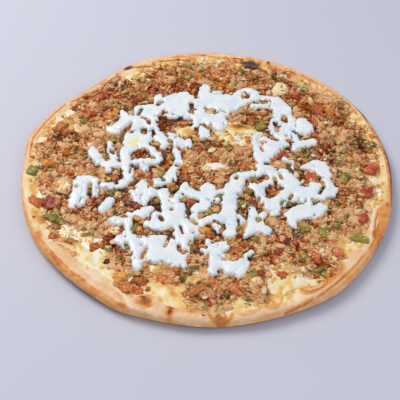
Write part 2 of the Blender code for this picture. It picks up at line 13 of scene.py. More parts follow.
import bpy
import numpy as np
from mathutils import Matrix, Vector


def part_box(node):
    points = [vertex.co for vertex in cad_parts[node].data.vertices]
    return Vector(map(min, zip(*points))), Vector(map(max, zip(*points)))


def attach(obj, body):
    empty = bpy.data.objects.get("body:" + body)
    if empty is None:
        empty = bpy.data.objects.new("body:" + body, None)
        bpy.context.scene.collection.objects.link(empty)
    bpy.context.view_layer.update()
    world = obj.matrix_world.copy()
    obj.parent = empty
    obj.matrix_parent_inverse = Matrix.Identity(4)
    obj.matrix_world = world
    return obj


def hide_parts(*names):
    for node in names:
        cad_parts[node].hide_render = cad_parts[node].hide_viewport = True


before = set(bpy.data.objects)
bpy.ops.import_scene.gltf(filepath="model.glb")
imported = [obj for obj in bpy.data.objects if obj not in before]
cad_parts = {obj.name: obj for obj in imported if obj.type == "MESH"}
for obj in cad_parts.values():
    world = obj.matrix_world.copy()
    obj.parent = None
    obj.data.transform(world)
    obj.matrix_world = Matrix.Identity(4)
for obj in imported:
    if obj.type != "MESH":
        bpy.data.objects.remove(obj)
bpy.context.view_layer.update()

# %% [markdown]
# Every size below is in millimetres, as a cook would measure it.  The bread's edge isn't
# a true circle: it swells and shrinks a little in some directions, and each row of a
# table names a direction in degrees, how far the edge moves there and how wide the
# change is.  Directions are counted anticlockwise, seen from above, from the right.

# %% Sizes
MM = 0.001
OUTER_RADIUS = 160.0
CHEESE_TOP = 9.0
MINCE_TOP = 10.4        # without its crumbs
DRIZZLE_BASE = 11.2     # underside of the yogurt

EDGE_SWELLINGS = (
    (137, -8.4, 14), (169, 3.6, 7), (116, -1, 9), (246, 1.4, 6), (307, 2.6, 11), (26, 1.6, 8),
    (73, -2.4, 9), (212, 0.8, 8), (352, -1.2, 10))
RIM_SWELLINGS = (
    (274, -2.6, 3.5), (264, 0.8, 5), (284, 0.7, 6), (306, 0.6, 12), (232, 0.9, 16), (186, -1.2, 9),
    (96, -1, 10), (72, 0.9, 7), (136, 0.7, 9), (20, -0.8, 12), (350, 0.6, 9), (158, 0.5, 6))
LIFTED_EDGES = (
    (228, 2.2, 15), (258, 1.4, 7), (291, 1, 9), (338, 1.2, 12), (52, 1, 12), (140, 1.8, 16),
    (100, 0.8, 8))
CHEESE_INSETS = (
    (221, 8.5, 9), (238, 4, 8), (252.5, 5.5, 3.5), (298, 3, 8), (321, 8, 7), (262, -1.5, 4),
    (274, -1, 5), (345, 1, 8), (150, -2, 12), (5, -1.5, 12))
# Direction and distance in from the edge: of the first crumbs, and of the first film of
# cheese that has run up the rim
MINCE_INSETS = (
    (2, 12), (5, 9.5), (10, 8.5), (15, 8), (20, 9), (24, 16), (28, 9), (33, 8), (40, 9), (45, 14),
    (48, 13), (53, 11), (57, 10), (62, 11), (67, 10.5), (70, 17), (75, 17), (77, 11), (80, 10),
    (85, 15), (98, 17), (104, 17), (110, 16), (115, 17), (119, 20), (124, 18), (127, 10.5), (133, 9.5),
    (140, 8.5), (146, 8.5), (152, 15), (157, 18), (160, 16), (165, 14), (170, 15), (173, 10), (180, 14),
    (185, 13), (190, 14), (193, 19), (196, 20), (199, 12), (202, 18), (205, 14), (210, 14), (214, 14),
    (217, 18), (220, 27), (224, 34), (230, 34), (234, 31), (238, 28), (243, 21), (246, 16), (249, 19),
    (252, 27), (256, 33), (261, 31), (264, 15), (268, 12), (271, 8.5), (275, 8.5), (277, 18), (282, 16),
    (285, 12), (288, 10), (290, 24), (293, 34), (297, 32), (300, 24), (303, 17), (308, 13), (314, 17),
    (318, 18), (320, 24), (323, 22), (327, 18), (331, 14), (336, 14), (341, 16), (345, 15), (349, 11),
    (353, 17), (358, 13))
FILM_INSETS = (
    (0, 7), (10, 6.5), (20, 6), (30, 6.5), (40, 7.5), (50, 9), (60, 9.5), (70, 8), (80, 8), (90, 9),
    (100, 9.5), (110, 9), (120, 9), (130, 8), (150, 8), (172, 8), (180, 7), (190, 5), (196, 4),
    (205, 5), (210, 5), (215, 8), (218, 13), (225, 15), (230, 14), (240, 15), (246, 13), (250, 19),
    (255, 18), (260, 13), (265, 13), (270, 7), (276, 7), (280, 8), (284, 7), (288, 8.5), (293, 5),
    (297, 6), (300, 12), (310, 14), (320, 15), (323, 8), (327, 8), (332, 12), (340, 13), (344, 7),
    (348, 5), (355, 5))


def swell(angle, table):
    """Sum of the swellings in a direction; works on one angle or an array of them."""
    degrees = np.degrees(angle)
    total = np.zeros_like(degrees, dtype=float)
    for centre, height, half_width in table:
        turn = (degrees - centre + 180.0) % 360.0 - 180.0
        total = total + height * np.exp(-(turn / half_width) ** 2)
    return total


def bread_edge(angle):
    return OUTER_RADIUS + swell(angle, EDGE_SWELLINGS)


def cheese_edge(angle):
    return bread_edge(angle) - 12.7 - swell(angle, CHEESE_INSETS)


def from_edge(angle, table):
    """How far in from the edge something begins, from a table that goes all the way round."""
    return np.interp(np.degrees(angle), *zip(*table), period=360.0)


# The origin is the middle of the bread's outline, and the tables count from the middle of
# the circle that it swells out of
ALL_ROUND = np.linspace(0.0, math.tau, 100, endpoint=False)
EDGE_X = bread_edge(ALL_ROUND) * np.cos(ALL_ROUND)
EDGE_Y = bread_edge(ALL_ROUND) * np.sin(ALL_ROUND)
CENTRE = ((EDGE_X.min() + EDGE_X.max()) / 2, (EDGE_Y.min() + EDGE_Y.max()) / 2)
print("middle of the outline:", [round(float(c), 2) for c in CENTRE])

# %% [markdown]
# Food has no two lumps alike, so most shapes here start from a Blender primitive whose
# points are then pushed about by smooth noise.  The noise is a table of random numbers
# read with soft steps between them.  Its seed is fixed, so each run gives the same food.

# %% Helpers for shaping
def lumps(x, y, size, seed):
    """Smooth noise from -1 to 1, with lumps about as wide as `size`."""
    grid = np.random.default_rng(seed).uniform(-1.0, 1.0, (128, 128))
    u, v = np.asarray(x) / size, np.asarray(y) / size
    i, j = np.floor(u).astype(int), np.floor(v).astype(int)
    s, t = u - i, v - j
    s, t = s * s * (3.0 - 2.0 * s), t * t * (3.0 - 2.0 * t)
    i, j, k, m = i % 128, j % 128, (i + 1) % 128, (j + 1) % 128
    low = grid[i, j] * (1.0 - s) + grid[k, j] * s
    high = grid[i, m] * (1.0 - s) + grid[k, m] * s
    return low * (1.0 - t) + high * t


def step(low, high, value):
    """Soft step from 0 to 1 between two values."""
    t = np.clip((value - low) / (high - low), 0.0, 1.0)
    return t * t * (3.0 - 2.0 * t)


def spot(x, y, cx, cy, length, width, turn):
    """How much a point lies in an oval spot: 1 in the middle, 0 well outside."""
    c, s = math.cos(math.radians(turn)), math.sin(math.radians(turn))
    u = ((x - cx) * c + (y - cy) * s) / (length / 2)
    v = ((y - cy) * c - (x - cx) * s) / (width / 2)
    return np.exp(-(u * u + v * v) ** 1.5)


def line_distance(x, y, points):
    """Distance from points to a line through the given (x, y) points."""
    nearest = np.full(np.broadcast(x, y).shape, 1e9)
    for (ax, ay), (bx, by) in zip(points, points[1:]):
        dx, dy = bx - ax, by - ay
        along = np.clip(((x - ax) * dx + (y - ay) * dy) / (dx * dx + dy * dy + 1e-9), 0.0, 1.0)
        nearest = np.minimum(nearest, np.hypot(x - ax - along * dx, y - ay - along * dy))
    return nearest


def deselect():
    """Leave edit mode with nothing selected."""
    if bpy.context.object and bpy.context.object.mode != "OBJECT":
        bpy.ops.object.mode_set(mode="OBJECT")
    bpy.ops.object.select_all(action="DESELECT")


def pick(thing):
    """Select one object alone and make it active."""
    deselect()
    thing.select_set(True)
    bpy.context.view_layer.objects.active = thing
    return thing


@contextmanager
def editing(thing):
    """Inside `with editing(thing):` the thing is in edit mode with all its points selected."""
    pick(thing)
    bpy.ops.object.mode_set(mode="EDIT")
    bpy.ops.mesh.select_all(action="SELECT")
    yield
    bpy.ops.object.mode_set(mode="OBJECT")


def take(name):
    """Name the primitive that was just added."""
    thing = bpy.context.object
    thing.name = name
    thing.data.name = name
    return thing


def raw_points(thing):
    """The points of a mesh in its own units, as rows of x, y and z."""
    co = np.empty(len(thing.data.vertices) * 3, dtype=np.float32)
    thing.data.vertices.foreach_get("co", co)
    return co.reshape(-1, 3).astype(float)


def plan(thing):
    """The points of a piece as x, y and z in millimetres."""
    x, y, z = raw_points(thing).T / MM
    return x + CENTRE[0], y + CENTRE[1], z


def put(thing, x, y, z):
    """Move the points of a piece to these x, y and z in millimetres."""
    co = np.stack((x - CENTRE[0], y - CENTRE[1], z), axis=1) * MM
    thing.data.vertices.foreach_set("co", co.astype(np.float32).ravel())
    thing.data.update()


def normals(thing):
    """Outward directions at the points of a piece."""
    thing.data.update()
    found = np.empty(len(thing.data.vertices) * 3, dtype=np.float32)
    thing.data.vertex_normals.foreach_get("vector", found)
    return found.reshape(-1, 3).astype(float).T


def paint(thing, name, values):
    """Store one number for each point, for the material to read."""
    layer = thing.data.attributes.new(name, "FLOAT", "POINT")
    layer.data.foreach_set("value", np.asarray(values, dtype=np.float32))


def shape_up(thing, kind, **settings):
    """Add one modifier with its settings and apply it."""
    pick(thing)
    modifier = thing.modifiers.new(kind.title(), kind)
    for key, value in settings.items():
        setattr(modifier, key, value)
    bpy.ops.object.modifier_apply(modifier=modifier.name)
    return thing


def triangles(thing):
    return sum(len(face.vertices) - 2 for face in thing.data.polygons)


def serve(thing, material, slot, *nodes):
    """Finish a piece: smooth, with its material, riding on the part."""
    pick(thing)
    bpy.ops.object.shade_smooth()
    thing.data.materials.clear()
    thing.data.materials.append(material)
    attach(thing, "root")
    if nodes:
        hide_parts(*nodes)
    print(thing.name, triangles(thing), "triangles")


# %% [markdown]
# A material starts from what the real surface is.  Small helpers keep the node trees
# short: one turns a hex colour, as a colour picker shows it, into the linear numbers that
# the shader needs, one adds a node with its settings and its links, and one makes the
# pattern that every food here needs, which is soft speckles of a size in millimetres.

# %% Helpers for materials
def colour(code):
    """An sRGB hex colour as linear RGBA."""
    channels = [int(code[i:i + 2], 16) / 255.0 for i in (0, 2, 4)]
    return [c / 12.92 if c <= 0.04045 else ((c + 0.055) / 1.055) ** 2.4 for c in channels] + [1.0]


def node(tree, kind, inputs=(), output=0, stops=(), **settings):
    """Add a node with its settings and links, and give one of its outputs.

    Inputs are by name or in order, and each is a constant or the output of another node.
    Stops are the positions and hex colours of a colour ramp.
    """
    added = tree.nodes.new(kind)
    for key, value in settings.items():
        setattr(added, key, value)
    for key, value in inputs.items() if isinstance(inputs, dict) else enumerate(inputs):
        if isinstance(value, bpy.types.NodeSocket):
            tree.links.new(added.inputs[key], value)
        else:
            added.inputs[key].default_value = value
    for index, (position, code) in enumerate(stops):
        elements = added.color_ramp.elements
        element = elements[index] if index < len(elements) else elements.new(position)
        element.position = position
        element.color = colour(code)
    return added.outputs[output]


def new_material(name, roughness, **settings):
    """A Principled material; its constant values are set on the shader's own sockets."""
    material = bpy.data.materials.new(name)
    material.use_nodes = True
    shader = material.node_tree.nodes["Principled BSDF"]
    shader.inputs["Roughness"].default_value = roughness
    for key, value in settings.items():
        shader.inputs[key.replace("_", " ")].default_value = value
    return material, material.node_tree, shader


def speckle(tree, size, detail=2.0, rough=0.5, shift=0.0):
    """Noise whose lumps are `size` millimetres wide, on the piece's own coordinates."""
    place = node(tree, "ShaderNodeTexCoord", output="Object")
    moved = node(tree, "ShaderNodeMapping", {"Vector": place, "Location": (shift, shift, 0.0)})
    return node(tree, "ShaderNodeTexNoise", {"Vector": moved, "Scale": 1.0 / (size * MM),
                                             "Detail": detail, "Roughness": rough}, output="Fac")


# %% [markdown]
# ## The camera, the light and the table
#
# The photograph looks down at 48.5 degrees from the front, so the camera does too.  Its
# lens follows from how wide the bread is in the picture at that distance.

# %% Camera
CAMERA_DISTANCE = 600.0
CAMERA_TILT = math.radians(48.5)
CAMERA_ROLL = math.radians(0.9)
AIM = (-6.0, -33.0)     # the place on the table that it looks at
FOCAL_PIXELS = 709.0    # lens of the photograph, counted in its pixels
WIDTH_PIXELS = 400.0
SENSOR = 36.0
LENS = FOCAL_PIXELS / WIDTH_PIXELS * SENSOR

aim = Vector((AIM[0] - CENTRE[0], AIM[1] - CENTRE[1], 0.0)) * MM
back = Vector((0.0, -math.cos(CAMERA_TILT), math.sin(CAMERA_TILT)))
camera = bpy.data.objects.new("camera", bpy.data.cameras.new("camera"))
camera.location = aim + back * CAMERA_DISTANCE * MM
camera.rotation_euler = back.to_track_quat("Z", "Y").to_euler()
camera.rotation_euler.rotate_axis("Z", CAMERA_ROLL)
camera.data.lens = LENS
camera.data.sensor_width = SENSOR
camera.data.clip_start = 0.01
bpy.context.scene.collection.objects.link(camera)
bpy.context.scene.camera = camera
print("lens", round(LENS, 1), "mm")

# %% [markdown]
# The light is a large soft window from the upper left, with a reflector opposite and
# plenty of light from all round, so shadows are short and soft.  The table is plain, pale
# and matt.  The Standard view transform shows every colour as it was chosen.

# %% Light and table
bpy.context.scene.view_settings.view_transform = "Standard"
bpy.context.scene.view_settings.look = "None"


def soft_light(name, place, size, power, code):
    """A square light that faces the food."""
    light = bpy.data.lights.new(name, "AREA")
    light.size = size
    light.energy = power
    light.color = colour(code)[:3]
    lamp = bpy.data.objects.new(name, light)
    lamp.location = place
    lamp.rotation_euler = Vector(place).to_track_quat("Z", "Y").to_euler()
    bpy.context.scene.collection.objects.link(lamp)


# Places and sizes in metres, power in watts
soft_light("window", (-0.75, 0.45, 1.1), 0.7, 11.5, "FFFDF8")
soft_light("reflector", (0.8, -0.7, 0.8), 0.9, 4.0, "F6F8FF")
world = bpy.data.worlds.new("room")
world.use_nodes = True
background = world.node_tree.nodes["Background"]
background.inputs["Color"].default_value = colour("EDEFF8")
background.inputs["Strength"].default_value = 0.44
bpy.context.scene.world = world

deselect()
bpy.ops.mesh.primitive_plane_add(size=6.0, location=(0.0, 0.0, 0.0))
table = take("table")
# Matt paint scatters all light, so the table shows a soft shadow and no highlight
matt_paint, tree, shader = new_material("matt_painted_table", 0.75)
shader.inputs["Base Color"].default_value = colour("D3D4E2")
table.data.materials.append(matt_paint)

# %% [markdown]
# ## The bread
#
# A baker stretches the dough into a disc and rolls its edge.  A grid of small squares is
# the easiest start: one direction of the grid runs round the bread, the other runs over
# its section, from the middle of the underside, out to the edge, over the rim and back
# to the middle of the top.  Rolling the grid up along that path gives a closed skin that
# is finest where it shows, and welding its seam and its two ends closes it.

# %% Roll a grid into a round
def along(row, section, column):
    """Read one column of a section, softened so that no row shows as a corner."""
    marks = [line[0] for line in section]
    values = [line[column] for line in section]
    return sum(np.interp(row + d, marks, values) * w for d, w in ((-1.2, 0.25), (0.0, 0.5), (1.2, 0.25)))


def roll_up(name, columns, section):
    """Add a grid; returns its points' direction, row, distance in, and whether they are poles."""
    rows = section[-1][0]
    deselect()
    bpy.ops.mesh.primitive_grid_add(x_subdivisions=columns, y_subdivisions=rows, size=1.0)
    thing = take(name)
    u, v, _ = raw_points(thing).T + 0.5
    angle, row = math.tau * (np.round(u * columns) % columns) / columns, np.round(v * rows)
    return thing, angle, row, along(row, section, 1), (row < 0.5) | (row > rows - 0.5)


def weld(thing):
    """Join the seam and the poles of a rolled grid, and turn its faces outwards."""
    with editing(thing):
        bpy.ops.mesh.remove_doubles(threshold=1e-6)
        bpy.ops.mesh.normals_make_consistent(inside=False)


# %% [markdown]
# The section of the bread is a table of rows.  The underside lies flat, the rim is rolled
# about 12 mm high, and the bed inside it is thin.  Where the edge is lifted or the rim
# swells, each row moves by its own share of it, so a swelling stays smooth.

# %% Roll the dough
# Each line: row, distance in from the edge, height, and how much of the lifted edge and
# of the rim's swelling it takes.  The rows from the crest to the cheese are moved in or
# out with the edge of the cheese.
DOUGH_SECTION = (
    (0, 160, 0, 0, 0), (3, 60, 0, 0, 0), (6, 22, 0, 0, 0), (8, 17, 0, 0, 0), (14, 8, 0.3, 0.6, 0),
    (19, 2.6, 1.1, 1, 0), (22, 0.6, 3, 0.9, 0.1), (25, 0, 5.4, 0.5, 0.3), (28, 0.5, 8.2, 0.2, 0.7),
    (31, 1.8, 10.6, 0, 1), (34, 4, 11.5, 0, 1), (39, 7, 11.1, 0, 0.6), (44, 9.8, 10.3, 0, 0.25),
    (49, 12.4, 9.4, 0, 0), (52, 14, 8.9, 0, 0), (54, 15.6, 8.2, 0, 0), (64, 31, 7.8, 0, 0),
    (67, 60, 7, 0, 0), (69, 160, 7, 0, 0))
UNDERSIDE_ROW = 14
WALL_ROW = 27           # the outer wall ends here
CREST_ROW = 34
CHEESE_ROW = 54         # the inner slope of the rim ends here
CREST_INSET = 4.0
CHEESE_ROW_INSET = 14.0
SLOPE = CHEESE_ROW_INSET - CREST_INSET
DOUGH_COLUMNS = 960

dough, angle, row, inset, poles = roll_up("dough", DOUGH_COLUMNS, DOUGH_SECTION)
bare = bread_edge(angle) - cheese_edge(angle) - CHEESE_ROW_INSET
inset = inset + (row > CREST_ROW) * bare * np.clip((inset - CREST_INSET) / SLOPE, 0.0, 1.0)
radius = np.where(poles, 0.0, bread_edge(angle) - inset)
dough_x, dough_y = radius * np.cos(angle), radius * np.sin(angle)
dough_z = (along(row, DOUGH_SECTION, 2) + along(row, DOUGH_SECTION, 3) * swell(angle, LIFTED_EDGES)
           + along(row, DOUGH_SECTION, 4) * swell(angle, RIM_SWELLINGS))
upper = step(22, 32, row)
print(dough.name, len(dough_z), "points")

# %% [markdown]
# Nothing in an oven bakes evenly.  The rim has creases where it was folded, blisters
# where gas lifted the dough, and spots that caught the heat.  Creases are lines through
# a few named points, and spots are ovals.  Each pushes the dough up or down, and each
# says how far it is baked, from 0 for pale dough over 1 for golden and 2 for brown to 3
# for burnt.  One dark line along the outer edge on the right is painted shadow.

# %% Where the rim is creased and blistered
# Direction and distance in from the edge of the points of a line, its width, its height and
# how far it is baked
DOUGH_LINES = (
    (((178, 6), (170, 5.4), (163, 5.6), (156, 5), (151, 5)), 0.8, -0.6, 1.25),
    (((153, 3), (147, 3.4), (140, 2.6)), 0.6, -0.3, 0.9),
    (((149, 6.2), (142, 8), (137, 10)), 0.6, -0.4, 1.5),
    (((146, 4.6), (140, 6.2), (134, 8)), 0.8, 0.6, 0),
    (((144, 3.4), (138, 4.6), (132, 5)), 0.6, -0.4, 1),
    (((137, 11.5), (134, 9), (131, 8), (127.5, 8.5), (125.5, 12)), 0.9, 0.9, 2),
    (((136, 13), (133.5, 10.5), (131, 9.6), (128, 10.2)), 0.8, 0.7, 0.2),
    (((118.5, 8), (115.5, 10), (112.5, 12)), 0.9, -0.6, 1.9),
    (((119, 6.6), (115, 8), (111, 9.5)), 0.8, 0.5, 0),
    (((109, 9), (105, 10.6), (100, 11)), 0.8, -0.5, 1.8),
    (((104, 7.4), (97, 7.6), (92, 7)), 0.7, -0.3, 1), (((90, 8.5), (86, 9.6), (83, 9)), 0.6, -0.3, 1.3),
    (((80.5, 9), (79, 8), (76.5, 8.2)), 0.9, 0.5, 2.1),
    (((66, 8.5), (63, 9.6), (61, 9.6)), 0.7, -0.4, 1.6),
    (((60.5, 10.5), (58, 8.7), (55, 9.5)), 0.8, 0.6, 2), (((53, 9), (50, 8), (46, 7.6)), 1.3, 0.4, 1.1),
    (((58, 6.2), (50, 6), (44, 5.4)), 0.7, -0.3, 0.85),
    (((42, 6.4), (36, 6), (30, 5.6)), 0.7, -0.4, 1.1),
    (((31, 7.8), (28, 6.8), (25, 7.4)), 0.6, -0.3, 1.5),
    (((24, 8), (21, 6.8), (18, 7.4)), 0.6, -0.3, 1.4), (((19, 5), (13, 5.6), (7, 4.8)), 0.7, -0.4, 1.5),
    # A shallow crease along the outer edge from 344 to 30 degrees, painted dark brown as painted shadow
    # of the edge
    (((30, 1.4), (20, 1.2), (10, 1.4), (2, 1.8), (356, 1.4), (350, 0.6), (344, 0)), 1.5, -0.4, 2.3),
    (((24, 3.6), (14, 4), (6, 4.2), (358, 4.4), (351, 3.8)), 0.6, -0.4, 1.3),
    (((26, 5.4), (12, 5.6), (2, 5.6), (354, 5.4)), 0.8, 0.3, -0.1),
    (((351, 6), (347.5, 7), (344.5, 6), (342, 8.5)), 0.9, 0.6, 0.3),
    (((340.5, 13.5), (336, 13.4), (332, 11), (328, 7.6)), 1.7, 1.6, -0.35),
    (((341, 10.6), (336, 10.4), (332, 8), (329, 5)), 0.8, -0.5, 1.5),
    (((298.6, 13.5), (298.2, 9.5), (300, 6.8), (303, 5.8), (306, 6.8), (309, 8.2), (312, 9.4),
      (314.3, 14)), 2.2, 1.7, 1.3),
    (((299.4, 12), (300.8, 9), (304, 8.4), (308, 11), (311, 12)), 0.6, -0.5, 2.1),
    (((297, 12), (296.6, 8.6), (299, 5), (303, 3.8), (307, 4.8)), 0.8, 0.8, -0.1),
    (((291, 0.4), (297, 1.4), (303, 3.2), (309, 4.8), (315, 5), (321, 4.4), (327, 4)), 0.6, -0.8, 1.5),
    (((300, 3), (308, 6.6), (314, 7.4), (321, 7)), 0.8, 0.5, 0.1),
    (((270.5, 7), (271.5, 3), (274, 1.2), (276.4, 3), (277, 7)), 1.2, 0.6, 1.3),
    (((278.6, 6), (280.5, 4), (283, 5), (286, 9.5)), 0.8, 0.7, 0.95),
    (((286, 9), (287, 5.6), (289, 5), (291, 8), (292.4, 13)), 0.9, 0.7, 0.95),
    (((248, 4), (250, 2.6), (253, 2.2), (255.5, 5), (256, 9)), 0.9, 0.6, -0.2),
    (((215.5, 9), (217.5, 14), (220, 18), (224, 20)), 1, 0.6, -0.2),
    (((243, 14), (246, 12), (248.5, 6)), 1, 0.7, -0.2),
    (((244, 10), (246, 8), (247, 5)), 0.9, -0.3, 0.75),
    (((226, 11), (232, 12.5), (238, 12)), 1.4, 0.3, -0.1))
# Middle as direction and distance in, length along the edge, width, turn, height and baking
DOUGH_SPOTS = (
    (252.4, 11.8, 21, 21, 0, 1.7, 0), (252.4, 11.8, 12.5, 13, 10, -3, 1.85), (251, 15, 5, 3, 0, 0, 2.3),
    (253.8, 10, 4, 3, 0, 0, 1.4), (260.2, 7.6, 6.4, 17, 0, 0.4, 1.75), (260, 6, 2.4, 5, 0, -0.3, 2.8),
    (274, 3.4, 12, 8, 0, 0.4, 1.6), (272.6, 8, 4, 8, -20, 0, 1.9), (266, 10, 10, 7, 0, 0.5, 1.25),
    (282, 6.5, 10, 4, 0, 0.4, 0.7), (288.5, 7.5, 9, 6, 0, 0.5, 0.85), (296, 9, 10, 9, 0, 0.3, -0.3),
    (308, 10.5, 20, 5, -12, 0.2, 0.95), (73.2, 11.6, 28, 9.5, 4, 1, 2.9),
    (67, 6.2, 3.6, 4.4, 30, 0.5, 2.2), (64.5, 11.5, 14, 5, 0, 0.4, 1.3), (79.5, 12, 8, 9, 0, 0.4, 1.6),
    (121.4, 5.4, 11, 5, 0, -0.8, 2.9), (121.5, 11.5, 14, 7, 0, 1, -0.4), (92, 7.6, 7, 2.6, 0, 0.3, 1.6),
    (101, 6.4, 9, 2.4, 0, 0.2, 1), (57, 14, 10, 12, 0, 1.6, 1.7), (49, 8.6, 12, 3.4, 0, 0.4, 1.2),
    (111.5, 12.5, 5, 8, 0, 0.3, 1.4), (340.5, 8.5, 12, 5, 0, 0.6, 1.1), (338.5, 5, 9, 4, 0, 0.2, 1.3),
    (343, 4.6, 6, 3, 0, 0.2, 1.4), (333, 4.4, 14, 3, 0, 0, 1.1), (330.5, 6.5, 9, 6, 0, 0.2, 1.5),
    (323.6, 7.5, 5, 6, 0, 0.3, 0), (211.8, 4.6, 10, 5, -15, 0.5, 1.3), (206.5, 12, 14, 9, 0, 0.6, 1.2),
    (204.4, 6.8, 2.6, 2.4, 0, 0, 2.7), (211.2, -1.6, 2.2, 2.2, 0, 0, 2.7),
    (230, 3.4, 8, 3.4, 0, 0, 1.35), (238, 3.2, 9, 3, 0, 0, 1.2), (222, 3, 12, 2.6, 0, 0, 1.6),
    (247, 2.6, 7, 3, 0, 0, 1.4), (234, 14, 18, 5, 0, 0.2, -0.3), (225, 10, 20, 8, 0, 0.2, 0.35),
    (239.5, 10, 12, 7, 0, 0.2, 0.35))

# Direction, amount and width: how far the outer wall is baked, and how far that colour
# reaches in over the crest
WALL_BAKE = (
    (230, 0.22, 18), (207, 0.25, 7), (262, -0.35, 9), (284, -0.25, 9), (310, -0.1, 16), (332, 0.35, 8),
    (350, 0.2, 9), (26, 0.15, 16), (60, -0.3, 14), (105, -0.4, 22), (150, -0.35, 18), (187, -0.3, 14))
WALL_REACH = (
    (228, 1.5, 20), (262, -3, 12), (284, -2.6, 9), (312, 1, 12), (338, 5, 8), (20, -1, 16),
    (60, -1.5, 16), (187, -1.5, 16))
# Where a dark line is painted along the foot of the wall: partly the browned underside, partly painted
# shadow under the lifted edge
SCORCH_AND_SHADOW_BELOW_WALL = (
    (232, 1, 13), (272, 0.9, 18), (306, 1, 18), (338, 0.7, 14), (5, 0.8, 16))

print(len(DOUGH_LINES), "creases and", len(DOUGH_SPOTS), "spots")

# %% [markdown]
# The bake of the dough is the sum of these: a pale start, the golden wall and the line
# where it ends, a dark line along the foot of the wall that is partly browned underside
# and partly painted shadow, and the marks of the creases and blisters.  The film is how
# much cheese has run up onto the rim, and it has left the raised marks bare.

# %% Bake the dough
wander = lumps(dough_x + 2 * dough_z, dough_y, 9.0, 12)
fine = lumps(dough_x, dough_y + 2 * dough_z, 2.6, 13)
reach = 3.6 + swell(angle, WALL_REACH) + 0.6 * wander + 0.35 * fine
on_wall = np.where(row < WALL_ROW, 1.0, step(0.5, -0.5, inset - reach))
rolled = step(0.0, 0.5, swell(angle, WALL_REACH) - 0.3)
seam_line = np.exp(-((inset - reach) / 0.7) ** 2) * (row > WALL_ROW) * rolled
round_wall = angle * OUTER_RADIUS
streak = lumps(round_wall, inset * 2.5, 7.0, 14)
along_wall = lumps(round_wall, 0.0 * angle, 9.0, 17) + 0.6 * lumps(round_wall, dough_z, 3.4, 18)
bake = 0.2 + 0.13 * wander + 0.1 * fine + 0.12 * streak
bake += on_wall * (0.55 + swell(angle, WALL_BAKE) + 0.18 * along_wall + 0.15 * fine)
bake += 0.5 * seam_line
# The dark line at the foot of the wall: partly browned crust, partly painted shadow under the lifted edge
bake += 1.7 * np.clip(swell(angle, SCORCH_AND_SHADOW_BELOW_WALL), 0.0, 1.0) * step(25.0, 23.0, row)
bake = np.where(row < UNDERSIDE_ROW, 1.0 + 0.35 * wander, bake)
past_film = inset - from_edge(angle, FILM_INSETS) + 1.5 * lumps(dough_x, dough_y, 5.0, 15) + fine
film = step(-2.6, 2.6, past_film)

dough_z += upper * (0.28 * wander + 0.18 * fine - 0.5 * seam_line)
ragged = 1.0 + 0.3 * lumps(dough_x, dough_y, 3.0, 11)


def on_rim(direction, inset):
    """The place this far in from the edge."""
    away = float(bread_edge(math.radians(direction))) - inset
    return away * math.cos(math.radians(direction)), away * math.sin(math.radians(direction))


marks = []
for points, width, height, mark in DOUGH_LINES:
    away = line_distance(dough_x, dough_y, [on_rim(*point) for point in points])
    marks.append((np.exp(-(away / (width * ragged)) ** 2) * step(20, 27, row), height, mark))
for direction, away, length, width, turn, height, mark in DOUGH_SPOTS:
    oval = (*on_rim(direction, away), length * ragged, width * ragged, direction + 90.0 + turn)
    marks.append((spot(dough_x, dough_y, *oval) * step(16, 24, row), height, mark))
for amount, height, mark in marks:
    dough_z += height * amount
    bake += (mark - bake) * amount
    film *= 1.0 - np.minimum(1.2 * amount, 1.0)

put(dough, dough_x, dough_y, dough_z)
paint(dough, "bake", bake)
paint(dough, "film", film * upper)
paint(dough, "toast", 1.1 + 0.6 * lumps(dough_x, dough_y, 7.0, 16) + 0.5 * fine)
weld(dough)
print("baked from", round(float(bake.min()), 1), "to", round(float(bake.max()), 1))

# %% [markdown]
# Baked wheat dough is dry and matt.  Its surface is a thin skin with tiny bubbles and
# pores, pale where the oven didn't reach it, then golden, brown and at last black.  So one
# ramp turns the painted bake into colour, and a little noise breaks it up into mottles.

# %% Baked wheat dough
# Melted cheese from white over pale yellow and golden to brown, for its film on the rim too
CHEESE_TONES = (
    (0, "FFF9EA"), (0.14, "FFF1D2"), (0.3, "FFE3A0"), (0.42, "FACC74"), (0.58, "E2A350"),
    (0.76, "A86A30"), (0.9, "6A3C22"), (1, "3A2024"))
# The dry skin scatters light, so it is rough, with a weak sheen where the flour is gone.
baked_dough, tree, shader = new_material("baked_wheat_dough", 0.6, Subsurface_Weight=0.08,
                                         Subsurface_Scale=0.004)
mottle = node(tree, "ShaderNodeMath", (speckle(tree, 3.0, 4.0, 0.6), 0.5), operation="SUBTRACT")
pores = node(tree, "ShaderNodeMath", (speckle(tree, 0.9, 2.0), 0.5), operation="SUBTRACT")
painted = node(tree, "ShaderNodeAttribute", output="Fac", attribute_name="bake")
strength = node(tree, "ShaderNodeMath", (painted, 0.5, 0.4), operation="MULTIPLY_ADD")
uneven = node(tree, "ShaderNodeMath", (mottle, strength, painted), operation="MULTIPLY_ADD")
uneven = node(tree, "ShaderNodeMath", (pores, 0.14, uneven), operation="MULTIPLY_ADD")
level = node(tree, "ShaderNodeMath", (uneven, 1.0 / 3.4, 0.4 / 3.4), operation="MULTIPLY_ADD")
tone = node(tree, "ShaderNodeValToRGB", (level,), stops=(
    (0.0, "FFF6E0"), (0.12, "FCE6C2"), (0.19, "F6D2A8"), (0.3, "F2BE82"), (0.41, "EEA658"),
    (0.53, "CE8038"), (0.7, "945628"), (0.86, "5A3630"), (1.0, "42292A")))
blush = node(tree, "ShaderNodeMath", (speckle(tree, 20.0, 1.0, shift=0.3), 0.55), operation="MULTIPLY")
peach = node(tree, "ShaderNodeMix", {0: blush, 6: tone, 7: colour("FFD3B4")}, 2,
             data_type="RGBA", blend_type="MULTIPLY")
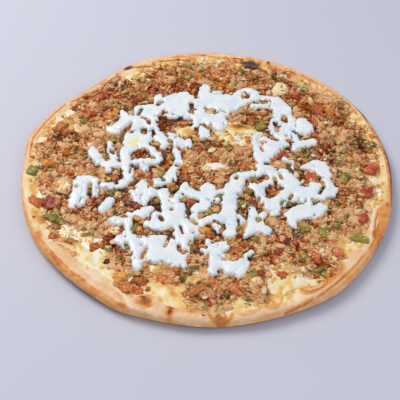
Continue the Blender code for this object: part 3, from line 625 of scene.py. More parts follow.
# The film of cheese has the colours of the cheese itself
painted = node(tree, "ShaderNodeAttribute", output="Fac", attribute_name="toast")
melted = node(tree, "ShaderNodeMath", (mottle, 2.4, painted), operation="MULTIPLY_ADD")
level = node(tree, "ShaderNodeMath", (melted, 3.0), operation="DIVIDE")
cheesy = node(tree, "ShaderNodeValToRGB", (level,), stops=CHEESE_TONES)
painted = node(tree, "ShaderNodeAttribute", output="Fac", attribute_name="film")
share = node(tree, "ShaderNodeMath", (mottle, 0.6, painted), operation="MULTIPLY_ADD")
crust = node(tree, "ShaderNodeMix", {0: share, 6: peach, 7: cheesy}, 2, data_type="RGBA")
height = node(tree, "ShaderNodeMath", (pores, 0.6, mottle), operation="MULTIPLY_ADD")
tree.links.new(shader.inputs["Base Color"], crust)
tree.links.new(shader.inputs["Normal"],
               node(tree, "ShaderNodeBump", {"Height": height, "Distance": 0.5 * MM}))
serve(dough, baked_dough, "baked_dough", "bread")

# %% [markdown]
# ## The cheese
#
# Melted cheese is a thin sheet that has run out to an uneven edge and set there in a
# raised golden lip.  It is the same rolled grid as the dough with another section, and
# where no mince covers it the oven has bubbled it up.

# %% Melt the cheese
# Each line: row, distance in from the edge and height
CHEESE_SECTION = (
    (0, 160, 7.1), (2, 40, 7.1), (4, 5, 7.1), (6, 0.4, 7.5), (7, 0, 8.5), (8, 0.4, 9), (9, 1.2, 9.25),
    (11, 2.6, 9.3), (13, 4.2, 9.2), (36, 40, 9), (39, 160, 9))
CHEESE_COLUMNS = 960
# Where the open cheese is coloured: middle, length, width, turn, height and toast, from
# 0 for white over 1 for pale yellow and 2 for golden to 3 for brown
CHEESE_SPOTS = (
    (-100, -106, 26, 16, -42, 0.5, 1.25), (-84, -117, 22, 16, -35, 0.3, 0.1),
    (-128, -82, 14, 12, -60, 0.4, 1.3), (-112, -92, 16, 12, -50, 0.4, 0.2),
    (-72, -128, 12, 8, -30, 0.4, 0.6), (-28, -126, 30, 16, -10, 0.5, 1.3),
    (-12, -138, 24, 8, 0, 0.3, 1.2), (40, -128, 30, 10, 12, 0.6, 0.5), (62, -108, 20, 18, 20, 0.5, 0.9),
    (70, -122, 16, 16, 30, 0.4, 0.4), (92, -108, 22, 10, 40, 0.4, 0.7),
    (108, -92, 18, 10, 50, 0.5, 1.1), (64, -134, 12, 6, 20, 0.5, 1.9), (48, -136, 10, 5, 10, 0.5, 1.9),
    (12, -141, 12, 5, 0, 0.4, 1.8), (-48, -126, 9, 7, 0, 0.8, 1.8), (43, 136, 27, 13, -14, 0.8, 3.2),
    (-106, -89, 7, 4.5, -50, 1.2, 2.7), (-102, -102, 8, 3, 45, 0.8, 1.5),
    (-80, -112, 6, 4, 20, 0.8, 1.4), (-92, -104, 8, 5, 0, 0.4, 1.2), (-85, -124, 9, 5, -30, 0.3, 1.5),
    (-68, -122, 8, 6, 0, 0.5, 2), (-22, -126, 6, 4, 20, 0.8, 2.2), (-32, -132, 8, 6, 0, 0.3, 0.5),
    (-104, -98, 10, 6, -40, 0.3, 0.2), (-123, -78, 7, 4, 30, 0.8, 2.3), (-118, -84, 7, 4, 10, 0.8, 2.1),
    (-112, -84, 8, 7, 0, 0.3, 0.3), (86, -120, 9, 5, 40, 0.4, 1.7), (66, -114, 10, 4, 10, 0.5, 1.9),
    (56, -124, 9, 6, 0, 0.3, 0.1))

cheese, angle, row, inset, poles = roll_up("melted_cheese", CHEESE_COLUMNS, CHEESE_SECTION)
border = cheese_edge(angle)
border = border + 1.5 * lumps(border * np.cos(angle), border * np.sin(angle), 11.0, 31)
border = border + 0.9 * lumps(border * np.cos(angle), border * np.sin(angle), 5.0, 32)
radius = np.where(poles, 0.0, border - inset)
cheese_x, cheese_y = radius * np.cos(angle), radius * np.sin(angle)
cheese_z = along(row, CHEESE_SECTION, 2)
above = step(7, 10, row)
bubbles = np.maximum(lumps(cheese_x, cheese_y, 6.0, 33), -0.2)
wrinkle = lumps(cheese_x, cheese_y, 2.2, 34)
cheese_z += above * (0.75 * bubbles + 0.22 * wrinkle)
lip = np.exp(-((row - 9.0) / 2.2) ** 2)
toast = 1.05 + 0.5 * lumps(cheese_x, cheese_y, 13.0, 35) + 0.6 * lumps(cheese_x, cheese_y, 5.0, 37)
toast += 0.35 * wrinkle + 0.35 * lip * lumps(cheese_x, cheese_y, 8.0, 38)
degrees = np.degrees(angle) % 360.0
# The lip is paler at the front left, and all of the edge at the left
toast -= 0.5 * lip * step(190.0, 215.0, degrees) * step(262.0, 245.0, degrees)
toast -= 0.6 * step(150.0, 165.0, degrees) * step(215.0, 200.0, degrees)
ragged = 1.0 + 0.3 * lumps(cheese_x, cheese_y, 5.0, 36)
for cx, cy, length, width, turn, height, mark in CHEESE_SPOTS:
    amount = spot(cheese_x, cheese_y, cx, cy, length * ragged, width * ragged, turn) * above
    cheese_z += height * amount
    toast += (mark + 0.3 * wrinkle - toast) * amount * (1.0 - 0.5 * lip)
put(cheese, cheese_x, cheese_y, cheese_z)
paint(cheese, "toast", np.maximum(toast, 0.0))
weld(cheese)
print("open cheese with", len(CHEESE_SPOTS), "spots")

# %% [markdown]
# Melted cheese is fat and protein: smooth, a little translucent and softly glossy, white
# to pale yellow, with golden and brown freckles on its highest bubbles.

# %% Melted white cheese
# Fat on the surface gives it a soft gloss, and light that enters it comes out warmer.
melted_cheese, tree, shader = new_material("melted_white_cheese", 0.38, Subsurface_Weight=0.15,
                                           Subsurface_Scale=0.003, Coat_Weight=0.15, Coat_Roughness=0.3)
freckles = node(tree, "ShaderNodeMath", (speckle(tree, 2.6, 4.0, 0.6), 0.5), operation="SUBTRACT")
painted = node(tree, "ShaderNodeAttribute", output="Fac", attribute_name="toast")
uneven = node(tree, "ShaderNodeMath", (freckles, 1.1, painted), operation="MULTIPLY_ADD")
level = node(tree, "ShaderNodeMath", (uneven, 3.0), operation="DIVIDE")
tree.links.new(shader.inputs["Base Color"],
               node(tree, "ShaderNodeValToRGB", (level,), stops=CHEESE_TONES))
tree.links.new(shader.inputs["Normal"],
               node(tree, "ShaderNodeBump", {"Height": freckles, "Distance": 0.5 * MM}))
serve(cheese, melted_cheese, "melted_cheese", "cheese")

# %% [markdown]
# ## Where things lie
#
# What lies where is kept in maps: square tables, half a millimetre a step, that hold how
# deep each place is inside a pool.  The depth is positive inside and negative outside, so
# a pool can be made ragged by adding noise and pierced by lowering the depth along lines.

# %% Maps of depth
MAP_STEP = 0.5
MAP_HALF = 168.0
MAP_AXIS = np.arange(-MAP_HALF, MAP_HALF + MAP_STEP / 2, MAP_STEP)
MAP_X, MAP_Y = np.meshgrid(MAP_AXIS, MAP_AXIS, indexing="ij")
OUTSIDE = -9.0          # depth of a place far from any pool


def window(x, y, half):
    """The part of a map round a place."""
    (i, k), (j, m) = (np.searchsorted(MAP_AXIS, (c - half, c + half)) for c in (x, y))
    return slice(i, k), slice(j, m)


def empty_map():
    return np.full(MAP_X.shape, OUTSIDE)


def fill(depths, drops):
    """Add round drops, each x, y and radius."""
    for x, y, reach in drops:
        near = window(x, y, reach - OUTSIDE)
        depths[near] = np.maximum(depths[near], reach - np.hypot(MAP_X[near] - x, MAP_Y[near] - y))
    return depths


def fill_ovals(depths, ovals):
    """Add ovals, each x, y, length, width and turn."""
    for x, y, length, width, turn in ovals:
        near = window(x, y, max(length, width))
        c, s = math.cos(math.radians(turn)), math.sin(math.radians(turn))
        u, v = MAP_X[near] - x, MAP_Y[near] - y
        out = np.hypot((u * c + v * s) / (length / 2), (v * c - u * s) / (width / 2))
        depths[near] = np.maximum(depths[near], (1.0 - out) * min(length, width) / 2)
    return depths


def cut(depths, lines):
    """Take lines away, each a width and its points."""
    for width, *points in lines:
        x, y = np.mean(points, axis=0)
        near = window(x, y, 6.0 + max(math.dist((x, y), point) for point in points))
        away = line_distance(MAP_X[near], MAP_Y[near], points if len(points) > 1 else points * 2)
        depths[near] = np.minimum(depths[near], away - width / 2)
    return depths


def at(depths, x, y):
    """Read a map between its points."""
    u, v = ((np.clip(c, -MAP_HALF, MAP_HALF - 1.0) + MAP_HALF) / MAP_STEP for c in (x, y))
    i, j = u.astype(int), v.astype(int)
    s, t = u - i, v - j
    return ((depths[i, j] * (1 - s) + depths[i + 1, j] * s) * (1 - t)
            + (depths[i, j + 1] * (1 - s) + depths[i + 1, j + 1] * s) * t)


print("maps of", len(MAP_AXIS), "by", len(MAP_AXIS), "points")

# %% [markdown]
# The yogurt lies in pools and strands.  Each pool is a handful of strokes, and each stroke
# runs through a few points with a width at each, as the spoon moved.

# %% Strokes of the spoon
DRIZZLE = {
    "yogurt_back": (
        ((-37, 79, 13), (-24, 83, 19), (-25, 70, 20), (-32, 67, 13)),
        ((-47, 85, 7), (-46, 76, 8), (-44, 71, 8), (-36, 74, 10)),
        ((-22, 75, 10), (-12, 77, 9), (-4, 79, 12)),
        ((-3, 99, 10), (-3, 91, 11), (0, 83, 14)),
        ((0, 81, 15), (10, 79, 22), (20, 78, 22), (26, 83, 11)),
        ((26, 86, 9), (30, 94, 6), (38, 97, 5), (44, 92, 7), (43, 84, 7), (35, 80, 7), (26, 79, 10)),
        ((13, 73, 13), (14, 63, 9), (12, 57, 12), (10, 48, 12), (10, 43, 8)),
        ((-7, 70, 8), (-6, 60, 10), (2, 57, 11), (8, 52, 12)),
        ((-8, 58, 6), (-12, 53, 5), (-12, 48, 3)),
        ((-1, 53, 8), (-3, 44, 7), (-3, 38, 8), (-2, 32, 7)),
        ((47, 88, 3.5), (54, 87, 3.5), (60, 85, 6)),
        ((64, 82, 10), (67, 76, 17), (70, 69, 14), (65, 65, 10), (62, 56, 7), (59, 49, 5), (59, 41, 8)),
        ((64, 57, 5), (66, 51, 4)),
        ((-46, 73, 9), (-46, 63, 6)),
        ((-64, 68, 8), (-57, 69, 9), (-51, 70, 8)),
        ((-68, 61, 7), (-64, 55, 12), (-63, 47, 10), (-66, 40, 8)),
        ((-55, 62, 13), (-51, 56, 10), (-50, 48, 7), (-48, 40, 7), (-42, 30, 10), (-39, 23, 7),
         (-39, 18, 4)),
        ((-79, 64, 4), (-76, 55, 8), (-79, 46, 10), (-85, 39, 9), (-91, 42, 5)),
        ((-76, 52, 7), (-69, 54, 7)),
        ((-63, 33, 14), (-69, 28, 12), (-67, 20, 11), (-72, 10, 8), (-71, 0, 9), (-68, -12, 9),
         (-67, -20, 7)),
        ((-56, 31, 12), (-57, 22, 11), (-50, 15, 6), (-43, 7, 7), (-43, 1, 6), (-52, -1, 6),
         (-62, -1, 6)),
        ((-57, -2, 5), (-56, -8, 3)),
        ((-104, 18, 5), (-100, 10, 8), (-95, 2, 8), (-88, -3, 8), (-80, -4, 9), (-72, -2, 7)),
        ((-84, -4, 7), (-84, -11, 4)),
        ((-86, 21, 4), (-85, 13, 5), (-81, 5, 6), (-79, 0, 7)),
        ((-68, -22, 6), (-73, -27, 7), (-80, -29, 7), (-88, -28, 4)),
    ),
    "yogurt_right": (
        ((76, 60, 5), (77, 54, 5), (74, 44, 7), (71, 35, 10), (66, 27, 13)),
        ((87, 52, 11), (88, 45, 15)),
        ((81, 43, 5), (75, 43, 7)),
        ((93, 27, 7), (86, 25, 8), (79, 25, 7), (77, 33, 6), (76, 41, 6)),
        ((79, 23, 6), (77, 17, 4)),
        ((43, 34, 3), (43, 24, 5), (46, 12, 11), (48, 2, 12), (49, -6, 13)),
        ((51, 31, 5), (56, 29, 8), (59, 23, 15), (53, 13, 12)),
        ((55, -9, 8), (58, -16, 8), (64, -19, 10), (71, -30, 13), (63, -39, 9), (55, -49, 10),
         (54, -55, 7)),
        ((64, -10, 5), (69, -15, 8), (72, -24, 11)),
        ((36, -26, 4), (42, -32, 8), (46, -42, 7), (50, -50, 8)),
        ((44, -29, 4), (50, -24, 5), (57, -21, 5)),
        ((72, -32, 12), (82, -33, 11), (92, -32, 12), (103, -33, 9)),
        ((88, -26, 6), (93, -28, 8)),
        ((83, -4, 4), (92, 1, 8), (98, -2, 9), (101, -11, 8), (101, -21, 7), (105, -31, 8)),
        ((44, -11, 6), (36, -14, 5), (26, -16, 9), (25, -24, 12), (18, -36, 15), (8, -38, 9),
         (-2, -38, 9)),
        ((1, -30, 11), (-1, -32, 9)),
        ((-19, -27, 5), (-19, -34, 8), (-12, -37, 8), (-3, -41, 9), (-2, -50, 8), (-8, -54, 9),
         (-10, -68, 3)),
        ((18, -44, 12), (19, -54, 10), (16, -60, 12), (6, -63, 6), (-4, -68, 6), (-14, -75, 11)),
        ((20, -64, 8), (19, -70, 6), (18, -77, 10)),
        ((-22, -37, 6), (-26, -46, 7), (-24, -53, 11), (-22, -60, 10)),
        ((-36, -36, 9), (-33, -47, 9), (-30, -57, 14), (-30, -67, 15), (-41, -69, 11), (-47, -70, 5)),
        ((-20, -72, 17), (-18, -86, 13), (-21, -97, 14), (-35, -98, 19), (-50, -94, 20), (-62, -88, 13),
         (-70, -86, 6)),
        ((-24, -106, 12), (-20, -109, 7)),
        ((-13, -78, 7), (-8, -80, 4)),
        ((-53, -104, 10), (-53, -112, 5)),
        ((-78, -67, 3), (-72, -66, 6), (-64, -68, 7), (-63, -76, 4), (-62, -84, 8)),
        ((84, -36, 5), (84, -48, 5)),
        ((94, -50, 9), (86, -54, 13), (76, -55, 14), (69, -59, 10), (69, -69, 5)),
    ),
    "yogurt_centre": (
        ((-33, 33, 6), (-29, 32, 7)),
        ((-29, 31, 4), (-25, 26, 5)),
        ((-25, 24, 9), (-18, 23, 9)),
        ((-26, 21, 6), (-26, 10, 6), (-25, 0, 6), (-29, -11, 7), (-33, -21, 10), (-42, -24, 8)),
    ),
    "yogurt_far_left": (
        ((-107, -24, 10), (-107, -35, 9), (-109, -46, 9), (-110, -53, 4)),
        ((-104, -22, 8), (-97, -23, 7), (-95, -33, 7), (-93, -40, 4)),
    ),
    "yogurt_slant": (
        ((-80, -46, 7), (-84, -54, 8)),
    ),
    "yogurt_inner_left": (
        ((-53, -24, 4), (-54, -32, 12), (-47, -36, 8), (-52, -43, 6), (-51, -48, 3)),
    ),
    "yogurt_small_left": (
        ((-46, -54, 5), (-53, -59, 8), (-60, -61, 5), (-65, -60, 3)),
    ),
    "yogurt_front_right": (
        ((37, -53, 5), (38, -61, 7), (39, -68, 12), (46, -75, 8), (49, -78, 4)),
        ((36, -74, 7), (31, -80, 4)),
        ((41, -63, 5), (46, -58, 5)),
    ),
    "yogurt_front": (
        ((3, -94, 6), (11, -92, 8), (13, -91, 7)),
        ((8, -96, 8), (6, -104, 9), (7, -113, 11)),
        ((10, -108, 11), (20, -112, 11), (28, -107, 8), (25, -117, 7)),
    ),
}
print(sum(len(strokes) for strokes in DRIZZLE.values()), "strokes")

# %% [markdown]
# Thick yogurt doesn't pour evenly.  Splashes and thin links that are too fine for the solid
# model join a pool, and slits and holes stay open in it.

# %% Splashes and holes
# By the pool they join: strokes of x, y and width
SPLASHES = {
    "yogurt_back": (((-57, 51, 7), (-54, 43, 7)), ((-36, 60, 6), (-30, 58, 6)),
        ((6, 93, 5), (11, 93, 4)), ((-20, 57, 4), (-16, 59, 4), (-11, 55, 6), (-11, 49, 6)),
        ((-53, -8, 3), (-53, -12, 2.5)), ((42, 76, 4), (48, 74, 5), (54, 75, 4), (58, 79, 4))),
    "yogurt_right": (((62, 36, 5), (67, 43, 5), (70, 48, 5)), ((73, 2, 3), (74, -6, 3)),
        ((67, 5, 4), (71, 4, 3)), ((5, -70, 3), (8, -72, 4), (8.5, -77, 3)),
        ((-44, -84, 4), (-37, -85, 6), (-31, -86, 7), (-26, -88, 6)), ((-41, -60, 6), (-37, -61, 6)),
        ((71, -39, 7), (78, -39, 7), (84, -38, 6), (95, -38, 5)), ((4, -42, 6), (12, -40, 6)),
        ((88, -4, 5), (95, -6, 6), (98, -12, 6))),
    "yogurt_far_left": (((-102, -29, 6), (-101, -40, 6), (-104, -48, 6)),
        ((-95, -31, 7), (-94, -38, 7))),
    "yogurt_inner_left": (((-63, -36, 4), (-60, -40, 6), (-57, -46, 5)),),
    "yogurt_front_right": (((26, -60, 4), (29, -65, 4)),),
    "yogurt_front": (((-3, -96, 4), (-3, -99, 4)), ((10, -99, 6), (12, -101, 5)),
        ((1, -86, 3), (1, -88, 3)), ((31, -101, 4), (34, -97, 3))),
}
# Slits and holes through which the mince shows: width and points
HOLES = (
    (2.6, (-61.5, 68), (-64, 60)), (2.2, (-60, 56), (-57, 55), (-54, 52), (-53.5, 49)),
    (5, (-57.5, 40), (-57, 36)), (2.2, (-69.5, 49), (-70, 45)), (3, (-68.5, 36)),
    (2.8, (-49.5, 40), (-48, 34)), (2.6, (-46.5, 74), (-45, 77), (-43, 77.5)),
    (2.6, (-71, 66), (-69, 60)), (6.5, (-48, 22), (-46, 21)), (2.4, (-44, 18), (-43, 13)),
    (2, (-85, 13), (-84, 10)), (2, (-77, 21), (-75, 19)), (2.2, (-77, 2), (-76, 0)),
    (3, (-109.5, -30.5)), (2.8, (-76.5, -26)), (2.4, (-98, -27), (-98, -40)), (2.2, (-37, -22)),
    (3, (-15.5, 75), (-14.5, 70), (-16, 65)), (4, (-16, 53)), (4.4, (1, 67)), (1.8, (12, 67), (16, 65)),
    (2, (-4, 48), (1, 43)), (2.2, (-26, 18), (-24, 15)), (2.6, (-27, -4), (-23, -5)),
    (2.4, (25, -16), (24, -19)), (3, (26, -37), (28, -39)), (1.8, (9, -39), (13, -37)),
    (2.6, (-29, -54)), (2.6, (-38, -63), (-36, -66)), (4.8, (-28.5, -76)),
    (1.8, (-28.5, -78), (-30, -84), (-33, -92)), (1.6, (-21, -73), (-19, -79)),
    (2.6, (-22, -91.5), (-21.5, -95), (-18, -98), (-16, -96.5)), (2, (-13.5, -91), (-12.5, -87)),
    (2.2, (-11, -78)), (3, (-63, -91), (-61, -97)), (1.6, (-51, -91.5)),
    (2.4, (-50, -104), (-49, -100), (-47, -95)), (2.6, (-12, -66), (-9, -69)),
    (4, (71, 87), (75, 81), (79, 75)), (3.4, (61.5, 51), (63, 46), (63, 41)), (2.8, (58, 31), (62, 29)),
    (1.8, (70.5, 35)), (3, (72, 28), (75.5, 27)), (3, (50.5, -0.5), (54.5, -0.5)),
    (2.2, (62, -14), (63, -18)), (2.2, (57, -18), (58, -25)), (2.2, (70, -37), (68, -41)),
    (2.2, (62, -44), (61, -47)), (1.8, (93.5, -34), (97.5, -27)), (2.6, (83.5, 1), (89, 5)),
    (4.4, (10.5, -115.5)), (3.4, (41.5, -64)), (2, (55, 33)), (3, (78, 40.5)), (2, (45, 30), (46, 25)),
    (2, (47, 20), (48.5, 15)), (2.2, (-90, 7), (-87, 1)), (2, (-83.5, 13), (-82, 9)),
    (1.8, (-76.5, -8.5), (-73, -12)))
print(len(HOLES), "slits and holes")

# %% [markdown]
# Along each stroke lie drops at close steps, and at each place the deepest drop counts.
# Noise makes the edge of the pool ragged, because thick yogurt tears as it falls.

# %% Map the yogurt
DROP_STEP = 1.3
LEAST_DROP = 1.2
SPREAD = 0.9            # how far the yogurt runs out past the stroke
OPENING = 0.7           # what the slits need on top of their width to stay open


def drops(stroke):
    """Closely spaced x, y and radius along a smooth curve through a stroke's points."""
    samples = []
    for i, (start, end) in enumerate(zip(stroke, stroke[1:])):
        before, after = np.array(stroke[max(i - 1, 0)]), np.array(stroke[min(i + 2, len(stroke) - 1)])
        start, end = np.array(start, dtype=float), np.array(end, dtype=float)
        count = max(2, round(math.dist(start[:2], end[:2]) / DROP_STEP))
        for t in np.linspace(0.0, 1.0, count + 1):
            point = 0.5 * (2.0 * start + (end - before) * t
                           + (2.0 * before - 5.0 * start + 4.0 * end - after) * t * t
                           + (3.0 * start - before - 3.0 * end + after) * t ** 3)
            samples.append((point[0], point[1], SPREAD + max(LEAST_DROP, point[2] / 2.0)))
    return samples


RAGGED = 1.1 * lumps(MAP_X, MAP_Y, 4.4, 91) + 0.8 * lumps(MAP_X, MAP_Y, 2.2, 92)
RAGGED -= 6.0 * np.maximum(lumps(MAP_X, MAP_Y, 2.9, 99) - 0.45, 0.0)
OPEN_HOLES = [(width + OPENING, *points) for width, *points in HOLES]
POOLS = {}
for name, strokes in DRIZZLE.items():
    every = [drop for stroke in strokes + SPLASHES.get(name, ()) for drop in drops(stroke)]
    POOLS[name] = cut(fill(empty_map(), every) + RAGGED, OPEN_HOLES)
YOGURT = np.maximum.reduce(list(POOLS.values()))
print(len(POOLS), "pools cover", round((YOGURT > 0).sum() * MAP_STEP ** 2), "square mm")

# %% [markdown]
# Here and there cheese has boiled up between the crumbs and set in small pale puddles.

# %% Map the puddles of cheese
# Middle, length, width and turn
PUDDLES = (
    (-75, 118, 13, 9, 0), (-64, 121, 9, 7, 0), (-128, 64, 10, 9, 40), (-135, 54, 8, 12, 30),
    (-146, 30, 7, 14, -20), (-58, 112, 6, 9, 0), (-117, 41, 6, 6, 0), (-122, -29, 13, 14, 30),
    (-22, 38, 9, 11, 0), (-149, -38, 7, 20, 25), (-116, -56, 8, 6, 0), (-108, -76, 10, 8, -20),
    (-113, -77, 18, 12, -25), (-102, -81, 18, 10, -12), (-93, -90, 14, 8, -30), (-88, -85, 10, 3.8, 0),
    (-80, -90, 11, 3.8, -45), (57, -115, 28, 12, 8), (49, -109, 13, 8, 0), (60, -124, 18, 10, 10),
    (-30, -112, 16, 8, 0), (-12, -121, 18, 8, -8), (-42, -113, 9, 7, 20), (2, -117, 8, 6, 0),
    (-73, -76, 11, 9, 0), (-66, 22, 8, 9, 0), (-130, -72, 6, 8, 0), (-57, -43, 6, 5, 20),
    (-85, -33, 5, 5, 0), (32, 134, 7, 5, 0), (10, 134, 7, 12, 0), (-6, 141, 12, 6, 0),
    (58, 95, 6, 8, -30), (98, 98, 8, 6, -30), (86, 102, 7, 5, 0), (6, -4, 9, 6, 0), (14, -6, 9, 7, 0),
    (97, 85, 6, 9, 0), (138, 60, 10, 22, 30), (145, 36, 6, 18, 15), (108, 54, 6, 6, 0),
    (-117, 22, 10, 7, 20), (120, 57, 6, 7, 0), (105, 7, 9, 6, 0), (30, 68, 6, 9, 20),
    (141, -15, 8, 15, 10), (-17, 37, 6, 8, 0), (143, -29, 7, 12, 15), (-21, 41, 24, 13, 0),
    (27, 38, 44, 30, -6), (44, 32, 10, 16, 0), (4, -4, 26, 9, 4), (134, -42, 11, 6, 20),
    (108, -85, 15, 6, 10), (89, -94, 6, 9, 10), (93, 12, 5, 5, 0), (98, -99, 8, 6, 0),
    (52, -63, 7, 5, 0), (38, -121, 13, 7, -30), (24, -141, 16, 6, 10), (75, -64, 6, 4, 0),
    (60, -108, 14, 7, 0), (78, -122, 14, 7, 10), (-8, -118, 8, 7, 0), (20, -128, 8, 5, 0),
    (50, -130, 12, 8, 10))
PUDDLE = fill_ovals(empty_map(), PUDDLES)
PUDDLE = PUDDLE + 1.1 * lumps(MAP_X, MAP_Y, 4.0, 93) + 0.6 * lumps(MAP_X, MAP_Y, 2.0, 94)
AROUND = fill_ovals(empty_map(), [(x, y, 2 * a, 2 * b, t) for x, y, a, b, t in PUDDLES])
PUDDLE[AROUND < 0.5] = OUTSIDE
# Where the oven has browned them, and how far
BROWNED = (
    (29, 46, 20, 9, 0, 2.5), (9, -3, 20, 14, 0, 0.2), (-146, -10, 20, 90, 8, 0.3),
    (-17, 38, 14, 12, 0, 1.6), (-22, 48, 15, 6, 8, 2.3), (36, 44, 7, 5, 0, 1.9), (18, 36, 6, 5, 0, 1.8),
    (-14, 36, 6, 4, 0, 1.8), (-30, -112, 18, 9, 0, 2), (-10, -121, 22, 8, -8, 1.5),
    (-85, -88, 20, 12, -40, 0.1), (-108, -79, 24, 12, -20, 0.6), (60, 106, 14, 12, 0, 0.1),
    (70, 103, 14, 14, 0, 0.5))


def browned(thing, toast):
    """Toast of a piece of cheese with the browned spots added."""
    x, y, _ = plan(thing)
    for cx, cy, length, width, turn, mark in BROWNED:
        toast = toast + (mark - toast) * spot(x, y, cx, cy, length, width, turn)
    return toast


print(len(PUDDLES), "puddles")

# %% [markdown]
# ## The mince
#
# Minced meat bakes into thousands of small crumbs.  The layer gets a lumpy core, so that
# no gap between crumbs shows through to the cheese, and the crumbs lie on top of it.
# Towards its edge the core runs out to nothing and the crumbs lie singly on the cheese.

# %% Shape of the mince
# Each line: row, distance in from the edge and height
MINCE_SECTION = (
    (0, 160, 8.2), (2, 30, 8.2), (4, 3, 8.2), (6, 0.2, 8.7), (8, 0.5, 9), (11, 2.5, 9.6),
    (15, 6.5, 10.4), (84, 145, 10.4), (85, 160, 10.4))
MINCE_COLUMNS = 900
MINCE_RADIUS = 150.0    # the section above is for a core as wide as this
CORE_MARGIN = 7.0       # the core ends this far inside the outermost crumbs


def mince_reach(angle):
    """Edge of the mince with its ragged bites."""
    edge = bread_edge(angle) - from_edge(angle, MINCE_INSETS)
    x, y = edge * np.cos(angle), edge * np.sin(angle)
    return edge + 1.2 * lumps(x, y, 9.0, 41) + 1.4 * lumps(x, y, 4.0, 42)


def clumps(x, y):
    """Clumps of crumbs: far from 0 inside each one, and 0 in the creases between them."""
    return 0.75 * lumps(x, y, 6.5, 43) + 0.35 * lumps(x, y, 3.6, 46)


def mince_level(x, y):
    """Height of the core's lumpy top."""
    clump = np.abs(clumps(x, y)) ** 0.7
    return MINCE_TOP + 2.3 * (clump - 0.45) + 0.45 * lumps(x, y, 4.2, 44) + 0.35 * lumps(x, y, 2.1, 45)


def rim_top(x, y):
    """Height of the inner slope of the rim, from the same rows as the dough."""
    angle, away = np.arctan2(y, x), np.hypot(x, y)
    bare = bread_edge(angle) - cheese_edge(angle) - CHEESE_ROW_INSET
    inset = (SLOPE * (bread_edge(angle) - away) + CREST_INSET * bare) / (SLOPE + bare)
    rows = [line for line in DOUGH_SECTION if CREST_ROW <= line[0] <= CHEESE_ROW]
    marks, heights, shares = ([line[column] for line in rows] for column in (1, 2, 4))
    slope = np.interp(inset, marks, heights)
    return slope + np.interp(inset, marks, shares) * swell(angle, RIM_SWELLINGS)


def ground(x, y):
    """Height of whatever a crumb falls on: the core, or the cheese or the rim beyond its edge."""
    away = mince_reach(np.arctan2(y, x)) - CORE_MARGIN - np.hypot(x, y)
    level = CHEESE_TOP + (mince_level(x, y) - CHEESE_TOP) * step(-1.0, 6.0, away)
    return np.maximum(level, rim_top(x, y))


print("core", round(float(mince_level(0.0, 0.0)), 1), "mm high in the middle")

# %% [markdown]
# The mince isn't browned evenly.  Two numbers say what each place looks like: its hue, from
# 0 for herbs over 1 for pale meat, 2 for brown and 3 for rust to 4 for golden, and its
# shade, from 0 for dark to 1 for pale.  The crumbs take both from the place they lie on,
# so they belong together as they do in the real layer.

# %% Areas of colour
# Hue, how strongly, middle, length, width and turn of some areas
HUE_AREAS = (
    (1.8, 0.6, 122, 5, 170, 60, 90), (2.6, 0.6, 8, 4, 88, 62, 0), (3.6, 0.6, 38, -4, 24, 18, 0),
    (3.4, 0.5, -14, 14, 16, 12, 0), (3.8, 0.5, -26, -6, 14, 20, 0), (1.4, 0.6, 14, 20, 24, 14, 0),
    (2.7, 0.8, -60, -104, 60, 44, -50), (3.2, 0.7, -34, -114, 46, 22, 0),
    (3, 0.4, 20, -118, 60, 26, 10), (3.6, 0.5, -8, -112, 50, 24, 0), (1, 0.4, -15, -124, 24, 14, 0),
    (3, 0.7, 76, -114, 24, 10, 0), (2.9, 0.7, -112, 84, 34, 26, 40), (2.8, 0.6, -122, 6, 60, 40, 0),
    (3.8, 0.7, -132, 44, 24, 16, 30), (1.2, 0.8, -112, 28, 46, 30, 30),
    (0.2, 0.8, -88, 74, 26, 10, -20), (3, 0.8, -12, 132, 16, 18, 0), (0.4, 0.7, -40, 124, 12, 20, 0),
    (3.7, 0.6, -52, 118, 12, 26, 15), (1.2, 0.6, 2, 140, 40, 16, 0), (3.7, 0.6, -32, 100, 20, 14, 0),
    (2.9, 0.5, 36, 112, 40, 20, 0), (2, 0.6, 56, 112, 16, 28, 0), (3, 0.8, -55, 98, 16, 20, 20),
    (3, 0.8, -130, -44, 20, 24, 0), (3.8, 0.7, -118, -64, 34, 10, 0), (0.1, 0.8, -132, -60, 10, 12, 0),
    (3, 0.7, 44, -106, 24, 12, 10), (2, 0.6, 66, -94, 50, 20, 10), (1, 0.8, -141, -47, 13, 9, 0),
    (3, 0.8, -2, -84, 18, 26, 0), (3.9, 0.9, 26, -92, 18, 22, 0), (1.2, 0.8, 54, -33, 18, 18, 0),
    (0.8, 0.3, 108, 5, 40, 22, 20), (2.2, 0.5, 78, -78, 70, 40, 20), (3, 0.7, -36, 46, 24, 20, 0),
    (0.4, 0.6, -115, -102, 24, 8, -30), (3.8, 0.8, 112, 68, 7, 14, 0), (3.1, 0.8, 101, 70, 8, 18, 0),
    (3.8, 0.8, -87, 60, 14, 20, 0), (0.3, 0.5, 128, 80, 12, 16, 40), (0.4, 0.5, 50, 46, 14, 14, 0))
